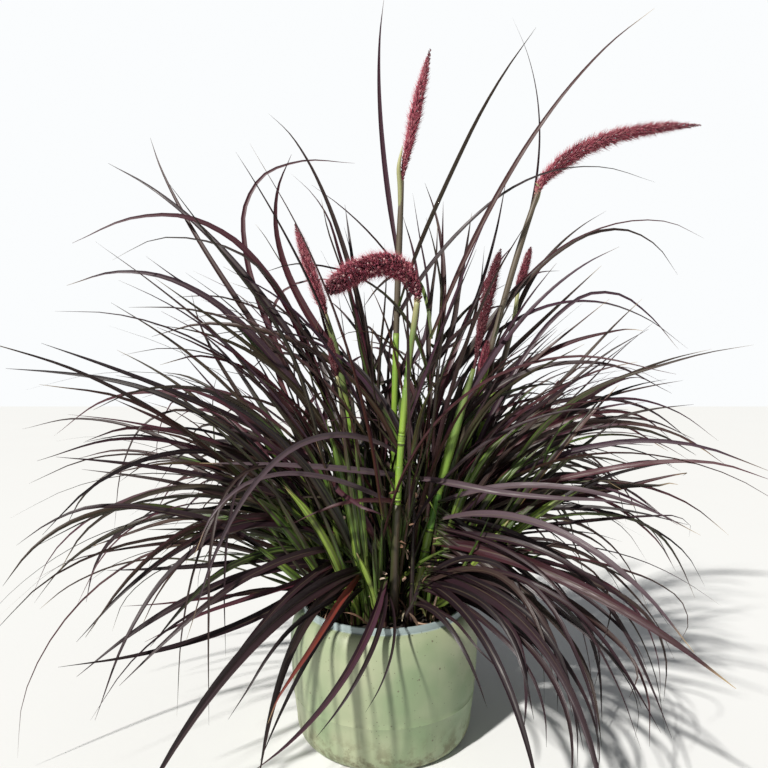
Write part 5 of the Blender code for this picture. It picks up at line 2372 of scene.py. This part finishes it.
class Stamp:
    """A small shape that is copied many times, each turned and scaled its own way."""

    def __init__(self, name: str, shape: Mesh) -> None:
        """Keep a shape.

        Args:
            name: The name of its mesh.
            shape: The shape, which is freed.
        """
        for face in shape.faces:
            face.smooth = True
        self.mesh = bpy.data.meshes.new(name)
        shape.to_mesh(self.mesh)
        self.corners = np.array([(*vertex.co, 1.0) for vertex in shape.verts])
        shape.free()

    def press(self, into: Mesh, matrix: Matrix, **values: float) -> None:
        """Add a copy of the shape.

        Args:
            into: The mesh that it goes in.
            matrix: Where it goes, with its turn and its scale.
            **values: What its attributes hold.
        """
        start = len(into.verts)
        places = self.corners @ np.array(matrix).T
        self.mesh.vertices.foreach_set("co", places[:, :3].astype(np.float32).ravel())
        into.from_mesh(self.mesh)
        into.verts.ensure_lookup_table()
        chosen = [(into.verts.layers.float[name], value) for name, value in values.items()]
        for vertex in into.verts[start:]:
            for layer, value in chosen:
                vertex[layer] = value


def pointing(place: Vector, along: Vector, outward: Vector, sizes: Triple) -> Matrix:
    """The matrix of a shape whose +Z points along a direction.

    Args:
        place: Where its middle goes.
        along: Where its +Z points.
        outward: About where its +Y points.
        sizes: Its scale along its own x, y and z.

    Returns:
        The matrix.
    """
    z_axis = along.normalized()
    x_axis = outward.cross(z_axis).normalized()
    y_axis = z_axis.cross(x_axis)
    turn = Matrix((x_axis, y_axis, z_axis)).transposed().to_4x4()
    return Matrix.Translation(place) @ turn @ Matrix.Diagonal((*sizes, 1.0))


@dataclass(frozen=True)
class PlumeLook:
    """How thick a plume's grains and bristles stand.

    The leans are in degrees from the plume's own direction, the sizes in metres.
    """

    grains: int
    core: float
    grain: Pair = (0.001, 0.0044)
    grain_lean: Pair = (28, 58)
    bristles: int = 3
    bristle_lean: Pair = (18, 62)
    bristle_radius: float = 0.00019
    bristle_length: Pair = (0.008, 0.015)
    rosy: float = 0.35
    dark: float = 0.0
    blunt: bool = False
    below: float = 0.004
    slim: float = 1.0
    foot: float = 0.28
    swell: float = 4.2
    taper: float = 3.0


FULL_PLUME = PlumeLook(1180, 0.88, grain=(0.0018, 0.0054), grain_lean=(32, 72), bristles=4,
                       bristle_lean=(34, 84), bristle_length=(0.009, 0.017), rosy=0.34,
                       blunt=True, slim=0.94)
SILKY_PLUME = PlumeLook(760, 0.6, grain=(0.0012, 0.0062), grain_lean=(16, 42), bristles=3,
                        bristle_radius=0.00036, bristle_lean=(20, 58),
                        bristle_length=(0.009, 0.017), rosy=0.62, below=0.022, slim=0.86,
                        foot=0.18, swell=1.6, taper=3.0)
SPREAD_PLUME = replace(SILKY_PLUME, grains=980, slim=1.1, foot=0.28, swell=3.0, taper=2.6,
                       bristles=4, rosy=1.12)
LARGE_PLUME = PlumeLook(760, 0.8, grain=(0.0012, 0.0052), grain_lean=(16, 40), bristles=4,
                        bristle_lean=(14, 48), bristle_length=(0.009, 0.016), rosy=0.0,
                        dark=0.72, slim=1.05, foot=0.14, swell=1.6, taper=4.0)
SMALL_PLUME = PlumeLook(640, 0.74, grain=(0.0011, 0.0048), grain_lean=(14, 38), bristles=6,
                        bristle_lean=(14, 48), bristle_length=(0.008, 0.015), rosy=0.6,
                        dark=0.25, slim=1.0)
MAROON_PLUME = PlumeLook(420, 0.86, grain=(0.0011, 0.0048), grain_lean=(12, 34), bristles=5,
                         bristle_lean=(10, 40), bristle_length=(0.006, 0.012), rosy=0.1,
                         dark=0.5, slim=0.92)
YOUNG_PLUME = replace(MAROON_PLUME, grains=260, core=0.75, dark=0.35, slim=1.1)
DARK_PLUME = replace(YOUNG_PLUME, dark=0.8, slim=1.0)
PLUME_LOOKS: tuple[PlumeLook, ...] = (
    SILKY_PLUME, SPREAD_PLUME, LARGE_PLUME, YOUNG_PLUME, MAROON_PLUME, FULL_PLUME,
    SMALL_PLUME, DARK_PLUME, DARK_PLUME)


@dataclass
class PlumeStock:
    """The shapes that plumes are made from."""

    grain: Stamp
    bristle: Stamp
    axis: Bar

    @classmethod
    def make(cls) -> "PlumeStock":
        """Make the shapes.

        Returns:
            The stock.
        """
        grain, bristle = bmesh.new(), bmesh.new()
        bmesh.ops.create_uvsphere(grain, u_segments=5, v_segments=4, radius=1.0)
        bmesh.ops.create_cone(bristle, segments=3, cap_ends=True, radius1=1.0, radius2=0.0,
                              depth=1.0)
        return cls(Stamp("grain", grain), Stamp("bristle", bristle),
                   Bar("plume_axis", round_corners(7), 30))


@dataclass
class Plume:
    """A foxtail flower head: grains in a spiral round its axis, with bristles."""

    number: int
    line: Line
    look: PlumeLook
    stock: PlumeStock
    steps: int = 200
    axis_half: float = 0.0019
    pale_share: float = 0.06
    pale_tones: Pair = (0.92, 1.09)
    chance: random.Random = field(init=False)

    def __post_init__(self) -> None:
        """Start the plume's mesh and seed its own spread."""
        self.shape = new_mesh()
        self.chance = random.Random(3000 + self.number)

    def radius(self, share: float) -> float:
        """Find the plume's radius with its bristles.

        Args:
            share: The share of the plume's length.

        Returns:
            The radius.
        """
        full = 0.5 * self.line.full_width * self.look.slim
        if self.look.blunt:
            return full * min(1.0, 0.26 + 2.5 * share) * (1.0 - share ** 11.0) ** 0.6
        swollen = min(1.0, self.look.foot + self.look.swell * share)
        return full * max(0.07, swollen * (1.0 - share ** self.look.taper) ** 0.7)

    def add_grain(self, share: float, turn: float, place: Vector, ahead: Vector,
                  start: Vector) -> None:
        """Add a grain and its bristles.

        Args:
            share: How far along the plume the grain is.
            turn: How far round the plume it is, in radians.
            place: The plume's axis there.
            ahead: The direction of the axis there.
            start: A direction square to the axis.
        """
        chance, look, stock = self.chance, self.look, self.stock
        outward = Matrix.Rotation(turn, 3, ahead) @ start
        radius = self.radius(share)
        core = look.core * radius * chance.uniform(0.62, 1.0)
        lean = degrees_in(chance, look.grain_lean)
        way = ahead * math.cos(lean) + outward * math.sin(lean)
        finer = min(1.0, 0.35 + 2.2 * radius / self.line.full_width)
        half, length = look.grain
        half *= chance.uniform(0.8, 1.25) * finer
        length *= chance.uniform(0.8, 1.15) * finer
        foot = place + outward * max(0.0004, core - 0.5 * length * math.sin(lean))
        tone = chance.random() ** (1.6 - look.rosy)
        if chance.random() < self.pale_share:
            tone = chance.uniform(*self.pale_tones)
        stock.grain.press(self.shape, pointing(foot + way * 0.5 * length, way, outward,
                                               (half, 0.75 * half, 0.5 * length)),
                          along=share, tone=tone * 0.92, hair=0.0, mark=look.dark)
        side = ahead.cross(outward)
        for _ in range(look.bristles):
            lean = degrees_in(chance, look.bristle_lean)
            sideways = chance.gauss(0.0, 0.35)
            flat = (outward + side * sideways).normalized()
            way = ahead * math.cos(lean) + flat * math.sin(lean)
            room = (radius * chance.uniform(0.9, 1.35) - 0.5 * core) / max(0.2, math.sin(lean))
            span = min(chance.uniform(*look.bristle_length), max(0.003, room)) * finer
            thick = look.bristle_radius * chance.uniform(0.8, 1.2)
            stock.bristle.press(self.shape, pointing(foot + way * 0.5 * span, way, outward,
                                                     (thick, thick, span)),
                                along=share, tone=tone, mark=look.dark,
                                hair=chance.uniform(0.1, 1.0) * min(1.0, 0.6 + 0.5 * look.rosy))

    def build(self, material: Material) -> tuple[str, int]:
        """Make the plume.

        Args:
            material: Its material.

        Returns:
            The object's name and its number of grains.
        """
        steps, axis = self.steps, self.stock.axis
        foot, second = self.line.points[:2]
        foot = foot - (second - foot).normalized() * self.look.below
        line = Line([foot, *self.line.points[1:]], [])
        places = line.smooth(steps)
        last = axis.pieces
        halves = [self.axis_half * (1.0 - 0.75 * index / last) for index in range(last + 1)]
        axis.lay(self.shape, Course.of(line.smooth(last), halves), tone=0.3, hair=0.0,
                 mark=self.look.dark)
        shares = np.linspace(0.0, 1.0, steps)
        room = np.cumsum([0.25 + self.radius(share) / self.radius(0.4) for share in shares])
        room = room / room[-1]
        for index in range(self.look.grains):
            share = float(np.interp((index + 0.5) / self.look.grains, room, shares))
            share = min(0.998, max(0.004, share - abs(self.chance.gauss(0.0, 0.008))))
            low = min(steps - 1, int(share * steps))
            ahead = (places[low + 1] - places[low]).normalized()
            place = places[low].lerp(places[low + 1], share * steps - low)
            square = ahead.orthogonal().normalized()
            self.add_grain(share, index * math.radians(RULE.golden_angle), place, ahead, square)
        piece = add_piece(f"foxtail_{self.number}", self.shape, material,
                          f"plume_{self.number}")
        return piece.name, self.look.grains


# ---- Pot and soil ----

def spun(name: str, profile: Sequence[Pair], steps: int) -> Mesh:
    """Turn a profile about +Z into a closed mesh.

    Args:
        name: What the shape is called in an error.
        profile: Radius and height from the axis round to the axis, outer side downwards.
        steps: How many pieces a turn has.

    Returns:
        The mesh.
    """
    shape = new_mesh()
    corners = [shape.verts.new((radius, 0.0, height)) for radius, height in profile]
    edges = [shape.edges.new(pair) for pair in zip(corners, corners[1:])]
    bmesh.ops.spin(shape, geom=corners + edges, cent=(0, 0, 0), axis=(0, 0, 1),
                   angle=math.tau, steps=steps, use_merge=True)
    bmesh.ops.remove_doubles(shape, verts=shape.verts, dist=1e-6)
    bmesh.ops.recalc_face_normals(shape, faces=shape.faces)
    if any(len(edge.link_faces) != 2 for edge in shape.edges):
        raise ValueError(f"{name} isn't closed")
    return shape


@dataclass
class GardenPot:
    """The pot: a thin shell with a rounded foot, a rolled shoulder and an upright lip."""

    sizes: PotSizes = POT
    steps: int = 144
    round_steps: int = 12
    lip_round: float = 0.0009
    neck_round: float = 0.0008
    bulge: float = 0.0015
    seam_height: float = 0.062
    seam_rise: float = 0.0005
    seam_half: float = 0.0012
    sharp_angle: float = math.radians(40)

    def side(self) -> list[Pair]:
        """Work out the outer side.

        Returns:
            Radius and height from the lip's top edge down to the foot.
        """
        pot, steps = self.sizes, self.round_steps
        side = [(pot.rim_radius - 2 * self.lip_round, pot.height),
                (pot.rim_radius - 0.3 * self.lip_round, pot.height - 0.3 * self.lip_round),
                (pot.rim_radius, pot.height - self.lip_round),
                (pot.rim_radius, pot.neck + self.neck_round),
                (pot.rim_radius + self.neck_round, pot.neck)]
        for index in range(1, steps + 1):
            turn = 0.5 * math.pi * index / steps
            side.append((pot.rim_radius + (pot.body_radius - pot.rim_radius) * math.sin(turn),
                         pot.neck - pot.shoulder_drop * (1.0 - math.cos(turn))))
        top, bottom = pot.neck - pot.shoulder_drop, pot.foot_round
        for index in range(1, steps):
            share = index / steps
            bulge = self.bulge * math.sin(math.pi * share)
            side.append((pot.body_radius + (pot.waist_radius - pot.body_radius) * share + bulge,
                         top + (bottom - top) * share))
        near = min(range(len(side)), key=lambda i: abs(side[i][1] - self.seam_height))
        radius, height = side[near]
        side[near:near + 1] = [(radius, height + self.seam_half),
                               (radius + self.seam_rise, height),
                               (radius, height - self.seam_half)]
        for index in range(steps + 1):
            turn = 0.5 * math.pi * index / steps
            side.append((pot.foot_radius + (pot.waist_radius - pot.foot_radius) * math.cos(turn),
                         pot.foot_round * (1.0 - math.sin(turn))))
        return side

    def inside(self) -> list[Pair]:
        """Work out the inner side.

        Returns:
            Radius and height from the middle of the floor up to the lip.
        """
        pot = self.sizes
        floor = [(0.0, pot.floor), (pot.foot_radius - pot.wall, pot.floor)]
        wall = [(radius - pot.wall, height) for radius, height in reversed(self.side())
                if pot.foot_round <= height < pot.height - self.lip_round]
        return floor + wall + [(pot.rim_radius - pot.wall + self.lip_round, pot.height)]

    def build(self, material: Material) -> str:
        """Make the pot.

        Args:
            material: Its material.

        Returns:
            The object's name.
        """
        shape = spun("pot", self.inside() + self.side() + [(0.0, 0.0)], self.steps)
        piece = add_piece("garden_pot", shape, material, "pot")
        piece.data.shade_smooth()
        piece.data.set_sharp_from_angle(angle=self.sharp_angle)
        return piece.name


@dataclass
class PottingSoil:
    """The soil's crumbly surface with clods on it."""

    radius: float = 0.1052
    top: float = POT.soil_top
    bottom: float = 0.12
    rings: int = 46
    steps: int = 132
    relief: float = 0.0042
    clods: int = 300
    clod_size: Pair = (0.0016, 0.0052)
    clod_margin: float = 0.006

    def height(self, place: Vector) -> float:
        """Find how uneven the surface is.

        Args:
            place: A place on the soil.

        Returns:
            How much higher it lies than the soil's top, mostly below zero.
        """
        spot = Vector((place.x, place.y, 0.0))
        coarse = noise.noise(spot * 42.0) * 0.5 + noise.noise(spot * 130.0) * 0.35
        return self.relief * (coarse + 0.2 * noise.noise(spot * 420.0) - 0.75)

    def build(self, material: Material) -> str:
        """Make the soil.

        Args:
            material: Its material.

        Returns:
            The object's name.
        """
        profile = [(self.radius * index / self.rings, self.top)
                   for index in range(self.rings + 1)]
        profile += [(self.radius, self.bottom), (0.0, self.bottom)]
        shape = spun("soil", profile, self.steps)
        for vertex in shape.verts:
            if vertex.co.z > self.top - 1e-5:
                vertex.co.z = self.top + self.height(vertex.co)
        for face in shape.faces:
            face.smooth = True
        lump = bmesh.new()
        bmesh.ops.create_icosphere(lump, subdivisions=1, radius=1.0)
        for vertex in lump.verts:
            vertex.co *= 1.0 + 0.35 * noise.noise(vertex.co * 1.7)
        clod = Stamp("clod", lump)
        chance = random.Random(41)
        for _ in range(self.clods):
            outward = (self.radius - self.clod_margin) * math.sqrt(chance.random())
            turn = chance.uniform(0.0, math.tau)
            size = chance.uniform(*self.clod_size) * chance.uniform(0.5, 1.0)
            place = Vector((outward * math.cos(turn), outward * math.sin(turn), self.top))
            place.z += self.height(place) + 0.25 * size
            way = Vector((chance.gauss(0, 1), chance.gauss(0, 1), chance.gauss(0, 1)))
            clod.press(shape, pointing(place, way, UP + 0.01 * way,
                                       (size, 0.8 * size, 0.65 * size)))
        return add_piece("crumbly_soil", shape, material, "potting_soil").name


@dataclass
class CrownLitter:
    """Dry scraps of old leaves and sheaths on the soil and among the stalks."""

    count: int = 210
    high_share: float = 0.6
    highest: float = 0.33
    flake: Pair = (0.005, 0.02)
    radius: float = 0.1
    length: Pair = (0.015, 0.075)
    width: Pair = (0.0015, 0.006)
    upright_share: float = 0.45
    clear_radius: float = 0.103
    clear_height: float = 0.182

    def build(self, stock: LeafStock, material: Material) -> str:
        """Make the scraps.

        Args:
            stock: The bars that they are made from.
            material: Their material.

        Returns:
            The object's name.
        """
        shape = new_mesh()
        chance = random.Random(57)
        for _ in range(self.count):
            outward = self.radius * math.sqrt(chance.uniform(0.1, 1.0))
            turn = chance.uniform(0.0, math.tau)
            high = chance.random() < self.high_share
            height = chance.uniform(POT.height + 0.02, self.highest) if high else 0.0
            foot = Vector((outward * math.cos(turn), outward * math.sin(turn),
                           max(POT.soil_top + 0.0015, height)))
            length = chance.uniform(*(self.flake if high else self.length))
            upright = chance.random() < self.upright_share
            rise = degrees_in(chance, (40, 85) if upright else (-2, 22))
            fall = degrees_in(chance, (20, 110) if upright else (-10, 25))
            heading = chance.uniform(0.0, math.tau)
            points = arch(foot, heading, rise, fall, length, chance.gauss(0.0, 0.9), 6)
            if any(math.hypot(point.x, point.y) > self.clear_radius
                   and point.z < self.clear_height for point in points):
                continue
            for point in points:
                point.z = max(point.z, POT.soil_top - 0.001)
            width = chance.uniform(*self.width)
            halves = [0.5 * width * leaf_share(share) for share in stock.plain.shares]
            course = Course.of(smoothed(points, stock.plain.pieces), halves, 0.6,
                               chance.uniform(0, math.tau), chance.gauss(0, 1.5))
            stock.plain.lay(shape, course, tone=chance.random())
        return add_piece("crown_litter", shape, material).name


# ---- Studio ----

@dataclass(frozen=True)
class Studio:
    """The floor, the world, the lights and the camera."""

    eye: Triple = EYE
    picture_side: float = 768.0
    focal_pixels: float = 620.0
    sensor: float = 36.0
    floor_size: float = 24.0
    floor_tone: Colour = (0.8, 0.81, 0.81)
    floor_dim: float = 0.975
    floor_rough: float = 0.75
    floor_shine: float = 0.2
    world_tone: Colour = (0.965, 0.98, 0.99)
    fill_tone: Colour = (0.93, 0.96, 1.0)
    fill_strength: float = 0.225
    sun_from: Triple = (-1.55, -1.95, 2.4)
    sun_tone: Colour = (1.0, 0.97, 0.92)
    sun_energy: float = 4.7
    sun_spread: float = math.radians(2.5)

    def build(self) -> None:
        """Make the studio round the object."""
        self.lay_floor()
        self.light_up()
        self.aim_camera()

    def lay_floor(self) -> None:
        """Lay the pale floor."""
        shape = bmesh.new()
        bmesh.ops.create_grid(shape, x_segments=2, y_segments=2, size=0.5 * self.floor_size)
        mesh = bpy.data.meshes.new("floor")
        shape.to_mesh(mesh)
        shape.free()
        material, desk, shader = new_material("pale_floor")
        cloud = desk.cloud(desk.place(), 1.4, 3.0)
        dim = tuple(self.floor_dim * part for part in self.floor_tone)
        desk.feed(shader.inputs["Base Color"], desk.mix(cloud, self.floor_tone, dim))
        shader.inputs["Roughness"].default_value = self.floor_rough
        shader.inputs["Specular IOR Level"].default_value = self.floor_shine
        mesh.materials.append(material)
        floor = bpy.data.objects.new("floor", mesh)
        bpy.context.scene.collection.objects.link(floor)

    def light_up(self) -> None:
        """Set the near-white world and the soft key light from the upper left front."""
        world = bpy.data.worlds.new("studio_world")
        world.use_nodes = True
        desk = Desk(world.node_tree)
        seen = desk.add("ShaderNodeBackground", Color=self.world_tone, Strength=1.0)
        fill = desk.add("ShaderNodeBackground", Color=self.fill_tone,
                        Strength=self.fill_strength)
        picked = desk.add("ShaderNodeMixShader",
                          Fac=desk.add("ShaderNodeLightPath").outputs["Is Camera Ray"])
        desk.feed(picked.inputs[1], fill.outputs["Background"])
        desk.feed(picked.inputs[2], seen.outputs["Background"])
        desk.feed(world.node_tree.nodes["World Output"].inputs["Surface"],
                  picked.outputs["Shader"])
        bpy.context.scene.world = world
        bpy.context.scene.view_settings.view_transform = "Standard"
        lamp = bpy.data.lights.new("key_light", "SUN")
        lamp.energy = self.sun_energy
        lamp.angle = self.sun_spread
        lamp.color = self.sun_tone
        key = bpy.data.objects.new("key_light", lamp)
        key.location = self.sun_from
        key.rotation_euler = Vector(self.sun_from).to_track_quat("Z", "Y").to_euler()
        bpy.context.scene.collection.objects.link(key)

    def aim_camera(self) -> None:
        """Set the level camera at the photograph's viewing angle."""
        camera = bpy.data.cameras.new("camera")
        camera.sensor_width = self.sensor
        camera.lens = self.focal_pixels / self.picture_side * self.sensor
        camera.clip_end = 100.0
        holder = bpy.data.objects.new("camera", camera)
        holder.location = self.eye
        holder.rotation_euler = (math.radians(90.0), 0.0, 0.0)
        bpy.context.scene.collection.objects.link(holder)
        bpy.context.scene.camera = holder


# The stems and the plumes that few leaves lie before, counted from 0
FRONT_STEMS = (2, 5)
FRONT_PLUMES = (0, 1, 2, 5, 6)
# How many leaves lie beside each of a shoot's own
SIBLINGS = {8: 2, 11: 5, 12: 6, 15: 5}
# How many stalks stand beside a shoot's own, where they are broad and lime green
SIDE_TILLERS = {5: 5, 6: 6, 7: 4, 13: 5, 14: 5, 15: 4}
WIDE_TILLERS = (0.009, 0.013)
LIME_STALKS = (0.85, 1.0)
# The shoots on the right whose side stalks are longer
LONG_TILLERS = (13, 14, 15)
LONG_GROWTH = 1.6
# The shoots at the front middle whose stalks are dark
DARK_SHOOTS = (9, 10, 12, 18, 22)
DARK_STALKS = (0.1, 0.35)
# The shoots whose blades cross the front with a painted pale sheen
SHEEN_SHOOTS = (10, 11)
# The shoots whose leaves hang over the rim, and the widths of those beside each own one
HANGING_SHOOTS = (7, 8, 11, 12, 15)
HANGING_WIDTH = (0.85, 1.15)
# The shoots with broader leaves at the top, and how broad they are
BROAD_SHOOTS = (2, 3, 4, 13)
BROAD_SIZE = 0.95
# The shoots low at the sides whose leaves are darker, with their tones
DARK_LEAVES = (6, 7, 8, 9, 11, 12, 15)
DARK_TONES = (0.2, 0.2)
# The tones of some blades, by shoot number and then by blade, counted from 0
BLADE_TONES = {11: {2: CRIMSON_TONE}}


def row_of(lines: Sequence[Line]) -> np.ndarray:
    """Places along all of the lines, in one table."""
    return np.array([tuple(place) for line in lines for place in line.smooth(40)])


def leafy_shoot(number: int, lines: ShootLines, stock: LeafStock,
                open_front: OpenFront) -> LeafyShoot:
    """A leafy shoot with all that sets it apart from the others.

    Args:
        number: The shoot's number.
        lines: Where it lies.
        stock: The bars that it is made from.
        open_front: What its leaves leave open.

    Returns:
        The shoot.
    """
    shoot = LeafyShoot(number, lines, stock, open_front, BLADE_TONES.get(number, {}),
                       MORE_ARCS.get(number, ()), MORE_STALKS.get(number, ()),
                       number in SHEEN_SHOOTS, siblings=SIBLINGS.get(number, 1))
    if number in SIDE_TILLERS:
        shoot.side_tillers, shoot.tiller_width = SIDE_TILLERS[number], WIDE_TILLERS
        shoot.stalk_green = LIME_STALKS
    if number in LONG_TILLERS:
        shoot.tiller_growth = LONG_GROWTH
    if number in DARK_SHOOTS:
        shoot.stalk_green = DARK_STALKS
    if number in BROAD_SHOOTS:
        shoot.slimmer = BROAD_SIZE
    if number in DARK_LEAVES:
        shoot.tones = DARK_TONES
    if number in HANGING_SHOOTS:
        shoot.sibling_width, shoot.slimmer = HANGING_WIDTH, 1.0
    return shoot


def main() -> None:
    """Build the clump, its pot and the studio."""
    logging.basicConfig(level=logging.INFO, format="%(name)s: %(message)s")
    layout = Layout()
    leaves, stems, plumes = LeafStock.make(), StemStock.make(), PlumeStock.make()
    leaf, green = LeafFinish().material(), StemFinish().material()
    rose = PlumeFinish().material()
    free = [layout.stems[index].stem for index in FRONT_STEMS]
    free += [layout.stems[index].plume for index in FRONT_PLUMES]
    drawn = [stalk.course() for stalks in MORE_STALKS.values() for stalk in stalks]
    open_front = OpenFront(row_of(free), row_of(drawn))
    for number, lines in enumerate(layout.shoots, start=1):
        shoot = leafy_shoot(number, lines, leaves, open_front)
        log.info("%s: %d leaves", *shoot.build(leaf))
    for number, (lines, look, plume_look) in enumerate(
            zip(layout.stems, CULM_LOOKS, PLUME_LOOKS), start=1):
        stem = FlowerStem(number, lines, look, stems, leaves, open_front)
        log.info("%s: %d leaves", *stem.build(green, leaf))
        plume = Plume(number, lines.plume, plume_look, plumes)
        log.info("%s: %d grains", *plume.build(rose))
    log.info("%s", GardenPot().build(PotFinish().material()))
    log.info("%s", PottingSoil().build(SoilFinish().material()))
    log.info("%s", CrownLitter().build(leaves, StrawFinish().material()))
    Studio().build()


if __name__ == "__main__":
    main()
